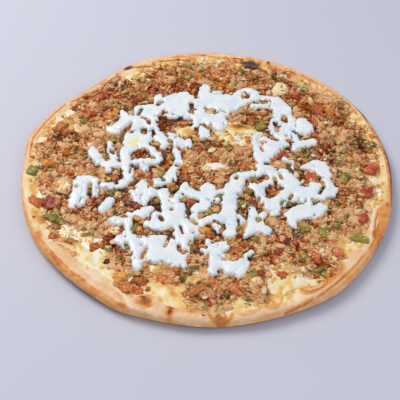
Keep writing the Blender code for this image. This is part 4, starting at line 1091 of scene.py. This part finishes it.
# The same for the shade
SHADE_AREAS = (
    (0.2, 0.7, -36, 48, 24, 20, 0), (0.25, 0.5, -88, 74, 26, 10, -20), (0.25, 0.5, 0, -84, 20, 26, 0),
    (0.35, 0.5, 30, -40, 120, 50, 0), (0.3, 0.5, -60, -16, 54, 66, 0),
    (0.75, 0.5, -112, 26, 46, 24, 20), (0.7, 0.4, 54, -33, 16, 16, 0), (0.92, 0.6, 8, 0, 84, 60, 0),
    (0.8, 0.6, -128, 8, 60, 90, 0), (0.7, 0.4, 0, 125, 150, 40, 0), (0.78, 0.5, 90, -70, 90, 50, 20),
    (1.3, 0.5, 10, -118, 90, 30, 0), (0.5, 0.5, -90, 85, 70, 50, 40), (0.52, 0.5, 128, 10, 60, 90, 0),
    (0.3, 0.6, 121, 68, 34, 26, -60), (0.3, 0.6, 84, 98, 34, 22, -40), (0.3, 0.6, -99, 99, 46, 26, 45),
    (0.35, 0.5, 44, 116, 30, 14, 0), (0.25, 0.5, -130, -62, 24, 10, 0),
    (0.7, 0.4, 120, -90, 50, 20, 40), (0.3, 0.5, -110, 84, 30, 24, 40),
    (1.5, 0.6, -10, -122, 90, 30, 0), (1, 0.5, -118, 0, 60, 90, 0))
print(len(HUE_AREAS), "areas of hue and", len(SHADE_AREAS), "of shade")

# %% [markdown]
# Noise fills in what the areas leave open.  Each clump of crumbs leans to one hue, hollows
# and creases are painted darker as painted shade, and along the yogurt, where juice gathers,
# the darkest band is painted, partly juice and partly painted shadow.

# %% Brown it unevenly
def browning(x, y, base, spread, fine, areas, seed):
    """Hue or shade of the mince at some places."""
    noise = 0.6 * lumps(x, y, 15.0, seed) + 0.7 * lumps(x, y, 7.0, seed + 1)
    noise = noise + fine * lumps(x, y, 3.6, seed + 2)
    value = base + spread * noise
    for mark, strength, cx, cy, length, width, turn in areas:
        share = strength * spot(x, y, cx, cy, length * 1.2, width * 1.2, turn)
        value = value + (mark + 0.6 * spread * noise - value) * share
    return value


def sauce_and_shadow(x, y):
    """How much dark is painted along the edge of the yogurt, from 0 to 1: partly sauce, partly painted
    shadow.
    """
    return np.exp(-((at(YOGURT, x, y) + 0.8) / 1.9) ** 2) * step(-0.6, 0.2, lumps(x, y, 6.0, 107))


def hue(x, y):
    """Each clump leans to one side: to herbs and pale meat, or to rust and gold."""
    meat = np.maximum(browning(x, y, 2.3, 2.5, 0.1, HUE_AREAS, 101), 0.5)
    meat = meat + 0.3 * np.tanh(clumps(x, y) / 0.2)
    # Along the edge of the yogurt the hue goes to the dark end of the ramp: partly sauce, partly painted
    # shadow
    return meat * (1.0 - 0.95 * step(0.4, 0.6, sauce_and_shadow(x, y)))


def shade(x, y):
    """Painted shade: darker in hollows and creases, paler on the heights, and darkest along the edge of
    the yogurt, partly sauce and partly painted shadow.
    """
    painted_hollow_shade = 0.14 * (mince_level(x, y) - MINCE_TOP) - 0.55 * np.exp(-(clumps(x, y) / 0.1) ** 2)
    painted_hollow_shade -= 0.4 * np.exp(-(lumps(x, y, 4.6, 108) / 0.08) ** 2)
    away = mince_reach(np.arctan2(y, x)) - np.hypot(x, y)
    melted = 0.22 * np.exp(-(np.maximum(away, 0.0) / 7.0) ** 2)
    return browning(x, y, 0.8, 0.66, 0.4, SHADE_AREAS, 103) + painted_hollow_shade - 0.45 * sauce_and_shadow(x, y) + melted


print("hue and shade in the middle:", round(float(hue(0.0, 0.0)), 1), round(float(shade(0.0, 0.0)), 1))

# %% [markdown]
# The core is rolled up like the dough and the cheese.  Its edge follows the ragged edge of
# the mince a little further in, and its top is lumpy, so the crumbs on it lie in clumps.

# %% Lay the core of the mince
core, angle, row, inset, poles = roll_up("mince_core", MINCE_COLUMNS, MINCE_SECTION)
share = np.where(poles, 0.0, np.maximum(1.0 - inset / MINCE_RADIUS, 0.004))
radius = (mince_reach(angle) - CORE_MARGIN) * share
core_x, core_y = radius * np.cos(angle), radius * np.sin(angle)
core_z = along(row, MINCE_SECTION, 2) + step(8, 16, row) * (mince_level(core_x, core_y) - MINCE_TOP)
put(core, core_x, core_y, core_z)
paint(core, "hue", hue(core_x, core_y))
# The core is painted a little darker than the crumbs on it: painted shade in the gaps between them
paint(core, "shade", shade(core_x, core_y) - 0.15)
weld(core)
print("mince core", len(core.data.vertices), "points")

# %% [markdown]
# Baked mince is rough and fibrous under a thin film of fat, so it has a broad, weak gloss.
# One ramp turns the hue into the colour of well lit meat.  The shade then takes it down to
# a moist dark brown, which also carries the painted shade of hollows, creases and the
# edge of the yogurt, or up to pale meat and melted fat.

# %% Baked mince
# Rough fibres scatter the light, and a film of fat leaves a broad highlight.
fried_mince, tree, shader = new_material("fried_mince", 0.6, Specular_IOR_Level=0.3,
                                         Subsurface_Weight=0.1, Subsurface_Scale=0.0015)
grain = node(tree, "ShaderNodeMath", (speckle(tree, 1.9, 3.0, 0.75), 0.5), operation="SUBTRACT")
blotches = node(tree, "ShaderNodeMath", (speckle(tree, 7.0, 2.0, shift=0.2), 0.3, -0.15),
                operation="MULTIPLY_ADD")
painted = node(tree, "ShaderNodeAttribute", output="Fac", attribute_name="hue")
level = node(tree, "ShaderNodeMath", (painted, 0.25, blotches), operation="MULTIPLY_ADD")
meat = node(tree, "ShaderNodeValToRGB", (level,), stops=(
    (0.0, "8A5E4A"), (0.08, "8E782E"), (0.17, "C69E46"), (0.32, "F8BC88"),
    (0.5, "D8964C"), (0.64, "D47A40"), (0.8, "E47430"), (1.0, "FAB43C")))
painted = node(tree, "ShaderNodeAttribute", output="Fac", attribute_name="shade")
shades = node(tree, "ShaderNodeMath", (grain, 2.2, painted), operation="MULTIPLY_ADD")
dark = node(tree, "ShaderNodeMapRange", {"Value": shades, "From Min": 0.58, "From Max": 0.06})
light = node(tree, "ShaderNodeMapRange", {"Value": shades, "From Min": 0.55, "From Max": 1.1,
                                          "To Max": 0.8})
meat = node(tree, "ShaderNodeMix", {0: dark, 6: meat, 7: colour("A0601A")}, 2,
            data_type="RGBA", blend_type="MULTIPLY")
meat = node(tree, "ShaderNodeMix", {0: light, 6: meat, 7: colour("FFD29C")}, 2, data_type="RGBA")
tree.links.new(shader.inputs["Base Color"], meat)
tree.links.new(shader.inputs["Normal"],
               node(tree, "ShaderNodeBump", {"Height": grain, "Distance": 1.1 * MM}))
serve(core, fried_mince, "browned_mince", "mince")

# %% [markdown]
# A crumb starts as a cube.  Cut once or twice across and rounded, with its points pulled
# in and out at random, it looks like a torn scrap of meat.  For the finest crumbs a ball
# of twenty faces does as well.  A handful of such shapes, turned and stretched, is enough
# for thousands of crumbs, because no eye can follow them.

# %% Tear some crumbs
def torn_shapes(cuts, count, raggedness, seed):
    """A few rough lumps, as (shape, point, xyz) with a radius near 1, and their faces."""
    deselect()
    if cuts:
        bpy.ops.mesh.primitive_cube_add(size=2.0)
        with editing(bpy.context.object):
            bpy.ops.mesh.subdivide(number_cuts=cuts)
    else:
        bpy.ops.mesh.primitive_ico_sphere_add(subdivisions=1, radius=1.2)
    lump = bpy.context.object
    co = raw_points(lump)
    faces = np.array([face.vertices[:] for face in lump.data.polygons])
    bpy.data.objects.remove(lump)
    round_co = co / np.linalg.norm(co, axis=1)[:, None]
    dice = np.random.default_rng(seed)
    shapes = []
    for _ in range(count):
        pull = 1.0 + dice.uniform(-raggedness, raggedness, len(co))
        skew = np.eye(3) + dice.uniform(-0.35, 0.35, (3, 3))
        shapes.append((0.7 * round_co + 0.3 * co / 1.3) * pull[:, None] @ skew)
    return np.array(shapes), faces


LARGE_CRUMBS = torn_shapes(2, 9, 0.36, 51)
SMALL_CRUMBS = torn_shapes(1, 12, 0.38, 52)
FINE_CRUMBS = torn_shapes(0, 12, 0.3, 53)
print("points a crumb:", [bodies.shape[1] for bodies, _ in (LARGE_CRUMBS, SMALL_CRUMBS, FINE_CRUMBS)])

# %% [markdown]
# Thousands of separate objects would be slow, so the copies are written straight into one
# mesh.  Its points are the shape's own, stretched, leant over and turned for each copy,
# and its faces are the shape's faces, counted on from copy to copy.

# %% Strew copies
# The shade of each lump is painted paler towards its top and darker below: painted light and shade
LIT_TOP = 0.14          # each lump is paler towards its top


def strew(name, shapes, places, seed, tilt=0.6, **paints):
    """One mesh of many small lumps; each place is x, y, z, length, width, height and turn."""
    bodies, faces = shapes
    dice = np.random.default_rng(seed)
    chosen = bodies[dice.integers(0, len(bodies), len(places))]
    lean, turn = dice.uniform(-tilt, tilt, len(places)), places[:, 6]
    up = chosen * (places[:, None, 3:6] / 2.0)
    x, y, z = up[..., 0], up[..., 1], up[..., 2]
    cl, sl = np.cos(lean)[:, None], np.sin(lean)[:, None]
    y, z = y * cl - z * sl, y * sl + z * cl
    ct, st = np.cos(turn)[:, None], np.sin(turn)[:, None]
    x, y = x * ct - y * st, x * st + y * ct
    points = np.stack((x + places[:, 0:1] - CENTRE[0], y + places[:, 1:2] - CENTRE[1],
                       z + places[:, 2:3]), axis=2) * MM
    count = faces.shape[0] * len(places)
    corners = (faces[None] + (np.arange(len(places)) * bodies.shape[1])[:, None, None]).reshape(-1)
    mesh = bpy.data.meshes.new(name)
    mesh.vertices.add(points.shape[0] * points.shape[1])
    mesh.vertices.foreach_set("co", points.astype(np.float32).ravel())
    mesh.loops.add(len(corners))
    mesh.loops.foreach_set("vertex_index", corners.astype(np.int32))
    mesh.polygons.add(count)
    mesh.polygons.foreach_set("loop_start", np.arange(count, dtype=np.int32) * faces.shape[1])
    mesh.update(calc_edges=True)
    thing = bpy.data.objects.new(name, mesh)
    bpy.context.scene.collection.objects.link(thing)
    # Painted light and shade: a lump's shade rises with the height of each point in it
    top = z / np.maximum(places[:, 5:6], 0.5)
    for key, values in paints.items():
        values = values[:, None] + (LIT_TOP * top if key == "shade" else 0.0 * top)
        paint(thing, key, values.ravel())
    return thing


# %% [markdown]
# Crumbs lie on the mince and a little beyond its edge, but not where yogurt or a cut piece
# would hide them, and not on the burnt blisters of the rim.  These places are maps too.

# %% Where no crumbs fall
# Burnt and bare places without crumbs: middle, length, width and turn
BARE_PLACES = (
    (42, 138, 32, 13, -14), (60, 132, 16, 7, -26), (-45, -142, 20, 18, 0), (-76, 121, 14, 9, 45),
    (57, 136, 9, 6, -20), (78, 121, 8, 10, 0))


def dice_shapes():
    """Middle, length, width and turn of each cut piece and patch on the mince, from the solids."""
    found = []
    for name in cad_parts:
        if name.startswith(("tomato_", "orange_pepper_", "green_pepper_", "cheese_")):
            low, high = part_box(name)
            found.append(((low.x + high.x) / 2 / MM + CENTRE[0], (low.y + high.y) / 2 / MM + CENTRE[1],
                          (high.x - low.x) / MM, (high.y - low.y) / MM, 0.0))
    return found


PIECES = fill_ovals(empty_map(), dice_shapes())
BARE = fill_ovals(empty_map(), BARE_PLACES)
print("pieces cover", round((PIECES > 0).sum() * MAP_STEP ** 2), "square mm")

# %% [markdown]
# Crumbs are thrown at random, and one that would lie too close to another is thrown away.
# They are sorted into squares, so that each is compared with its neighbours alone.

# %% Throw and lay
CELL = 8.0              # width of a square
CREST_MARGIN = 6.0      # no crumb lies nearer to the edge of the bread


def neighbours(taken, x, y):
    """The crumbs in the squares round a place."""
    i, j = int(x // CELL), int(y // CELL)
    return [crumb for k in (-1, 0, 1) for m in (-1, 0, 1) for crumb in taken.get((i + k, j + m), ())]


def reserve(taken, x, y, width):
    """Note a crumb in its square."""
    taken.setdefault((int(x // CELL), int(y // CELL)), []).append((x, y, width))


def throw(count, size_low, size_high, gap, taken, seed):
    """Random places inside the mince, none too close to another; returns x, y and size."""
    dice = np.random.default_rng(seed)
    turn, out = dice.uniform(0.0, math.tau, count), np.sqrt(dice.random(count))
    size = dice.uniform(size_low, size_high, count)
    away = out * (OUTER_RADIUS + 1.0)
    x, y = away * np.cos(turn), away * np.sin(turn)
    # A few stray beyond the edge of the mince, and few lie in the puddles of cheese
    inside = mince_reach(turn) - away + 2.0 * lumps(x, y, 5.0, seed + 7)
    chance = 0.05 * step(-7.0, -1.0, inside) + 0.95 * step(-2.5, 5.0, inside)
    chance *= 1.0 - 0.85 * step(-0.5, 1.5, at(PUDDLE, x, y))
    # None lies on the crest of the rim or under yogurt, and on a cut piece only one in ten
    good = (dice.random(count) < chance) & (away < bread_edge(turn) - CREST_MARGIN)
    good &= (at(YOGURT, x, y) < 0.3) & (at(BARE, x, y) < 0.0)
    good &= (at(PIECES, x, y) < 0.6) | (dice.random(count) < 0.1) & (at(PUDDLE, x, y) < 0.0)
    kept = []
    for px, py, width in zip(x[good], y[good], size[good]):
        if all((px - ox) ** 2 + (py - oy) ** 2 > (gap * (width + other) / 2) ** 2
               for ox, oy, other in neighbours(taken, px, py)):
            reserve(taken, px, py, width)
            kept.append((px, py, width))
    return np.array(kept)


def lay(spread, seed, sink):
    """Places for crumbs of random proportions, on the ground or on a cut piece."""
    dice = np.random.default_rng(seed)
    x, y, size = spread.T
    length = size * dice.uniform(1.0, 1.35, len(x))
    width = size * dice.uniform(0.7, 1.0, len(x))
    height = size * dice.uniform(0.55, 0.85, len(x))
    z = ground(x, y) + height * (0.5 - sink) + 0.9 * np.clip(at(PIECES, x, y), 0.0, 2.0)
    return np.stack((x, y, z, length, width, height, dice.uniform(0.0, math.tau, len(x))), axis=1)


# %% [markdown]
# The largest lumps are laid one by one, because each of them catches the eye.

# %% Lay the largest lumps
# Place, length, width, turn in degrees, hue and shade
LUMPS = (
    (-88, -92, 10, 8, 0, 3, 0.4), (-77, -106, 5, 4, 0, 0.1, 0.1), (-103, -100, 4, 2.6, 60, 0.9, 0.8),
    (-106, -87, 8, 5, -20, 1.7, 0.2), (-122, -83, 8, 5, 10, 2.9, 0.5),
    (-120, -73, 10, 4, -25, 1.5, 0.2), (-64, -120, 8, 7, 0, 3.9, 0.6), (-59, -130, 10, 9, 0, 2.9, 0.6),
    (-50, -124, 10, 9, 20, 2.3, 0.3), (-51, -133, 6, 5, 0, 3.2, 0.5), (-44, -131, 6, 5, 0, 2.5, 0.4),
    (-141, -47, 12, 10, 0, 2.9, 0.5), (-8, -133, 9, 7, 20, 2.4, 0.4), (3, -127, 10, 8, 0, 3, 0.6),
    (-16, -120, 9, 5, 50, 0.3, 0.3), (-34, -122, 10, 7, 0, 3.2, 0.6), (-44, -104, 9, 8, 0, 3.5, 0.6),
    (15, -135, 9, 6, 0, 0.5, 0.2), (-22, -125, 6, 3, 30, 0.6, 0.4), (-12, -126, 6, 3, -20, 0.5, 0.5),
    (-18, -118, 7, 3, -50, 0.6, 0.4), (-29, -123, 8, 6, 0, 3.3, 0.7), (-3, -130, 9, 6, 0, 2.2, 0.4),
    (5, -123, 7, 6, 0, 3, 0.5), (57, -116, 8, 7, 20, 3.1, 0.5), (19, -131, 8, 6, 0, 3.1, 0.6),
    (-11, -111, 10, 7, 0, 3.9, 0.9), (24, -133, 8, 6, 0, 3.1, 0.5), (-112, 40, 10, 8, 20, 1.4, 0.9),
    (-98, 34, 9, 8, -30, 1.5, 0.9), (-104, 18, 11, 8, 40, 1.4, 0.8), (-128, 18, 9, 7, 0, 3.6, 0.9),
    (-118, 50, 9, 7, 0, 1.4, 0.8))
taken = {}
x, y, length, width, turn, hues, shades = np.array(LUMPS, dtype=float).T
for lump in zip(x, y, 0.7 * (length + width)):
    reserve(taken, *lump)
places = np.stack((x, y, ground(x, y) + 0.5, length, width, 0.6 * width, np.radians(turn)), axis=1)
named = strew("named_lumps", LARGE_CRUMBS, places, 80, tilt=0.2, hue=hues, shade=shades)
serve(named, fried_mince, "browned_mince", "mince")

# %% [markdown]
# All other crumbs are thrown in four sizes.  The largest come first, and the finer ones
# fill the gaps that they leave.  A crumb has the colours of its place, and one in fifty is
# of quite another hue.

# %% Throw the crumbs
# Name, shapes, how many are thrown, smallest and largest size, spacing, how deep they sink
# in, how much the hue varies, and in how many meshes they are joined
CRUMBS = (
    ("large", LARGE_CRUMBS, 800, 5.0, 8.5, 0.76, 0.6, 0.7, 1),
    ("medium", LARGE_CRUMBS, 4500, 3.2, 4.8, 0.7, 0.48, 0.35, 2),
    ("small", SMALL_CRUMBS, 24000, 2.0, 3.0, 0.64, 0.34, 0.1, 2),
    ("fine", FINE_CRUMBS, 60000, 1.2, 2.0, 0.58, 0.1, 0.05, 2))
for index, (label, shapes, count, low, high, gap, sink, variety, parts) in enumerate(CRUMBS):
    spread = throw(count, low, high, gap, taken, 61 + index)
    places = lay(spread, 71 + index, sink)
    x, y, _ = spread.T
    dice = np.random.default_rng(71 + index)
    odd = dice.random(len(x)) < 0.02
    wild, mild = dice.uniform(-2.0, 2.0, len(x)), dice.normal(0.0, variety, len(x))
    hues = hue(x, y) + np.where(odd, wild, mild)
    shades = shade(x, y) + dice.normal(0.08, 0.12, len(x))
    for part in range(parts):
        mine = slice(part, None, parts)
        crumbs = strew(f"crumbs_{label}_{part + 1}", shapes, places[mine], 81 + index,
                       shade=shades[mine], hue=hues[mine])
        serve(crumbs, fried_mince, "browned_mince", "mince")
    print(len(spread), label, "crumbs")

# %% [markdown]
# Between the crumbs lie scraps of what the mince was mixed with: chopped herbs, bits of
# tomato and pepper, and flecks of cheese and onion.  They are strewn in the same way, flat
# for the herbs and lumpy for the rest.

# %% Strew the scraps
def moist_vegetable(name, roughness, stops, size):
    """Baked vegetable flesh: wet, so it has a clear gloss, and a little translucent."""
    material, tree, shader = new_material(name, roughness, Subsurface_Weight=0.12, Subsurface_Scale=0.002,
                                          Coat_Weight=0.2, Coat_Roughness=0.25)
    flesh = node(tree, "ShaderNodeMath", (speckle(tree, size, 4.0, 0.6), 0.5), operation="SUBTRACT")
    painted = node(tree, "ShaderNodeAttribute", output="Fac", attribute_name="shade")
    uneven = node(tree, "ShaderNodeMath", (flesh, 1.3, painted), operation="MULTIPLY_ADD")
    tree.links.new(shader.inputs["Base Color"], node(tree, "ShaderNodeValToRGB", (uneven,), stops=stops))
    tree.links.new(shader.inputs["Normal"],
                   node(tree, "ShaderNodeBump", {"Height": flesh, "Distance": 0.5 * MM}))
    return material


TOMATO = moist_vegetable("baked_tomato_flesh", 0.4, (
    (0.0, "6E200A"), (0.3, "B03C18"), (0.6, "D2622E"), (1.0, "F6AC76")), 2.6)
ORANGE_PEPPER = moist_vegetable("baked_orange_pepper", 0.42, (
    (0.0, "84400E"), (0.4, "CC7012"), (0.75, "E69422"), (1.0, "F2C05C")), 2.6)
GREEN_PEPPER = moist_vegetable("baked_green_pepper", 0.42, (
    (0.0, "524812"), (0.4, "867C24"), (0.75, "B0A23E"), (1.0, "DACC7E")), 2.6)
HERB = moist_vegetable("chopped_parsley", 0.5, (
    (0.0, "402A10"), (0.5, "6C5420"), (1.0, "9C8440")), 1.5)
CREAM = moist_vegetable("scraps_of_cheese_and_onion", 0.4, (
    (0.0, "C08C50"), (0.4, "E6C086"), (0.8, "F8E2B0"), (1.0, "FEF0CC")), 2.4)
SCRAP_MARGIN = 2.5      # scraps stay this far inside the edge of the mince
# Name, material, slot, how many, smallest and largest size, flatness
SCRAPS = (
    ("herb_flakes", HERB, "green_pepper", 380, 1.4, 3.0, 0.35),
    ("tomato_bits", TOMATO, "cooked_tomato", 110, 2.4, 5.2, 0.55),
    ("pepper_bits", GREEN_PEPPER, "green_pepper", 120, 2.4, 5.4, 0.5),
    ("orange_bits", ORANGE_PEPPER, "orange_pepper", 70, 2.4, 5.0, 0.5),
    ("cream_bits", CREAM, "melted_cheese", 110, 2.4, 5.6, 0.5))
for index, (name, material, slot, count, low, high, flat) in enumerate(SCRAPS):
    spread = throw(count * 3, low, high, 0.3, {}, 200 + index)
    x, y, _ = spread.T
    spread = spread[mince_reach(np.arctan2(y, x)) - np.hypot(x, y) > SCRAP_MARGIN][:count]
    places = lay(spread, 210 + index, -0.1)
    places[:, 5] *= flat
    places[:, 2] += 0.5
    shades = np.random.default_rng(220 + index).uniform(0.2, 0.8, len(spread))
    scraps = strew(name, SMALL_CRUMBS, places, 230 + index, tilt=0.9, shade=shades)
    serve(scraps, material, slot, "mince")

# %% [markdown]
# ## Diced vegetables
#
# The solid model holds every cut piece at its true place.  A copy of these solids is cut
# again into tiny even faces, smoothed like something that has softened in the oven, and
# wrinkled.  The pieces sink a little into the crumbs round them.

# %% Soften the cut pieces
def soften(name, prefixes, voxel, sink, wrinkle, seed):
    """One piece made from the solids whose names start like this."""
    chosen = [n for n in sorted(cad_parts) if n.startswith(prefixes)]
    deselect()
    for solid in chosen:
        copy = bpy.data.objects.new(name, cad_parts[solid].data.copy())
        bpy.context.scene.collection.objects.link(copy)
        copy.select_set(True)
        bpy.context.view_layer.objects.active = copy
    if len(chosen) > 1:
        bpy.ops.object.join()
    thing = take(name)
    with editing(thing):
        bpy.ops.mesh.remove_doubles(threshold=1e-5)
    shape_up(thing, "REMESH", mode="VOXEL", voxel_size=voxel * MM)
    shape_up(thing, "SMOOTH", factor=0.5, iterations=8)
    x, y, z = plan(thing)
    nx, ny, nz = normals(thing)
    push = wrinkle * (0.6 * lumps(x + z, y - z, 3.6, seed) + 0.4 * lumps(x - z, y + z, 1.8, seed + 1))
    # A knife's straight cuts sag out of line in the oven
    slide_x, slide_y = 1.3 * lumps(x, y, 5.0, seed + 3), 1.3 * lumps(x, y, 5.0, seed + 4)
    put(thing, x + nx * push + slide_x, y + ny * push + slide_y, z - sink + nz * push)
    return thing, chosen, lumps(x, y, 8.0, seed + 2)


print(sum(name.startswith("tomato_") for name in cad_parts), "dice of tomato")

# %% [markdown]
# The three kinds of vegetables differ only in colour.  Within each kind some pieces are
# paler or darker, because they have caught more or less of the heat.

# %% Serve the vegetables
# Pieces that are paler or darker than the others: middle and change of shade
PALER = (
    (-149, -11, 0.35), (121, -81, 0.3), (93, -74, 0.2), (-74, -59, -0.3), (-76, -37, -0.2),
    (-56, -73, -0.15), (-127, -50, -0.15), (-14, -45, -0.15), (-62, -50, -0.2), (61, -84, -0.3),
    (102, 71, -0.15), (-52, 98, -0.2), (-18, 103, -0.2), (126, -60, 0.15), (17, 122, 0.15),
    (102, -95, 0.2), (84, -100, 0.1), (48, 62, -0.3), (-88, -62, 0.2), (-138, -3, -0.15),
    (-134, 43, -0.2))
for name, prefix, slot, material, seed in (
        ("tomato_dice", "tomato_", "cooked_tomato", TOMATO, 81),
        ("orange_pepper_dice", "orange_pepper_", "orange_pepper", ORANGE_PEPPER, 84),
        ("green_pepper_dice", "green_pepper_", "green_pepper", GREEN_PEPPER, 87)):
    vegetables, solids, patches = soften(name, prefix, 0.55, 2.3, 1.2, seed)
    x, y, _ = plan(vegetables)
    change = sum(by * spot(x, y, cx, cy, 30, 30, 0) for cx, cy, by in PALER)
    paint(vegetables, "shade", 0.42 + 0.35 * patches + change)
    serve(vegetables, material, slot, *solids)

# %% [markdown]
# The patches of cheese that stand on the mince are softened in the same way, and browned
# where the oven has reached them.

# %% Bubbled cheese on the mince
patch, solids, patches = soften("cheese_bubbles", "cheese_", 0.6, 1.9, 0.7, 90)
paint(patch, "toast", browned(patch, 0.75 + 0.6 * patches))
serve(patch, melted_cheese, "melted_cheese", *solids)

# %% [markdown]
# ## Poured things
#
# A puddle with a level underside can be made from a map of its depth.  A fine grid is laid
# over it and its points outside the puddle are deleted.  The others rise steeply at the
# edge and level off further in, as surface tension makes a drop do, and the points just
# outside dive under the crumbs.  The sheet is extruded first, so it has an underside.

# %% Pour a puddle
REACH_DOWN = 2.6        # how deep the underside lies between the crumbs


def pour(name, depths, base, height, ease, margin=0.9):
    """A closed sheet where the depth is above zero; `ease` is how far in it levels off."""
    inside = np.argwhere(depths > -margin)
    (i, j), (k, m) = inside.min(axis=0) - 1, inside.max(axis=0) + 1
    deselect()
    bpy.ops.mesh.primitive_grid_add(x_subdivisions=int(k - i), y_subdivisions=int(m - j), size=1.0)
    thing = take(name)
    u, v, _ = raw_points(thing).T + 0.5
    column, line = np.round(u * (k - i)).astype(int) + i, np.round(v * (m - j)).astype(int) + j
    x, y = MAP_AXIS[column], MAP_AXIS[line]
    put(thing, x, y, 0.0 * x)
    with editing(thing):
        bpy.ops.mesh.select_mode(type="VERT")
        bpy.ops.mesh.select_all(action="DESELECT")
    thing.data.vertices.foreach_set("select", depths[column, line] < -margin)
    bpy.ops.object.mode_set(mode="EDIT")
    bpy.ops.mesh.delete(type="VERT")
    bpy.ops.mesh.select_all(action="SELECT")
    bpy.ops.mesh.extrude_region_move(TRANSFORM_OT_translate={"value": (0.0, 0.0, MM)})
    bpy.ops.mesh.select_all(action="SELECT")
    bpy.ops.mesh.normals_make_consistent(inside=False)
    bpy.ops.object.mode_set(mode="OBJECT")
    x, y, z = plan(thing)
    depth = at(depths, x, y)
    rise = height * (1.0 - np.exp(-np.maximum(depth, 0.0) / ease)) ** 0.6
    rise += 2.5 * np.clip(depth, -0.8, 0.0)
    rise += 0.12 * height * lumps(x, y, 6.0, 111) * step(0.0, 2.0, depth)
    put(thing, x, y, base(x, y) + np.where(z > 0.5, rise, -REACH_DOWN))
    return thing


print("points to pour:", int((PUDDLE > 0).sum()), "of cheese and", int((YOGURT > 0).sum()), "of yogurt")

# %% [markdown]
# The puddles of cheese lie between the crumbs, wherever no yogurt covers them.

# %% Puddles of cheese
def puddle_base(x, y):
    return ground(x, y) - 0.1


puddles = pour("cheese_puddles", np.minimum(PUDDLE, 1.0 - YOGURT), puddle_base, 1.0, 1.2)
x, y, _ = plan(puddles)
toast = 0.75 + 0.7 * lumps(x, y, 9.0, 95) + 0.5 * lumps(x, y, 4.0, 96)
paint(puddles, "toast", browned(puddles, toast))
serve(puddles, melted_cheese, "melted_cheese", "mince")

# %% [markdown]
# ## The yogurt
#
# Yogurt is milk protein in water: very white with a cold tint, wet, and so translucent that
# its shadows stay light.  Its gloss is soft, because it sets with a fine grain.

# %% Thick yogurt
# Light scatters deep inside it, and the wet skin reflects softly.
thick_yogurt, tree, shader = new_material("strained_yogurt", 0.34, Subsurface_Weight=0.3,
                                          Subsurface_Scale=0.003, Coat_Weight=0.2, Coat_Roughness=0.25)
white = node(tree, "ShaderNodeValToRGB", (speckle(tree, 14.0, 2.0),), stops=(
    (0.3, "E2EEF6"), (0.55, "F6FCFF"), (0.75, "ECF9FC")))
painted = node(tree, "ShaderNodeAttribute", output="Fac", attribute_name="butter")
tinted = node(tree, "ShaderNodeMix", {0: painted, 6: white, 7: colour("FCF2B0")}, 2, data_type="RGBA")
tree.links.new(shader.inputs["Base Color"], tinted)
tree.links.new(shader.inputs["Normal"], node(
    tree, "ShaderNodeBump", {"Height": speckle(tree, 1.6, 3.0), "Distance": 0.25 * MM}))


def drizzle_base(x, y):
    return DRIZZLE_BASE + 0.35 * lumps(x, y, 11.0, 97) + 0.3 * lumps(x, y, 6.0, 98)


# Where melted cheese tints the yogurt: middle, length, width and turn
BUTTER = (-65.5, 22.0, 15.0, 12.0, 20.0)
BUTTER_SHARE = 0.9
for name, depths in POOLS.items():
    poured = pour(name + "_drizzle", depths, drizzle_base, 2.7, 1.2)
    x, y, _ = plan(poured)
    paint(poured, "butter", BUTTER_SHARE * spot(x, y, *BUTTER))
    serve(poured, thick_yogurt, "thick_yogurt", name)
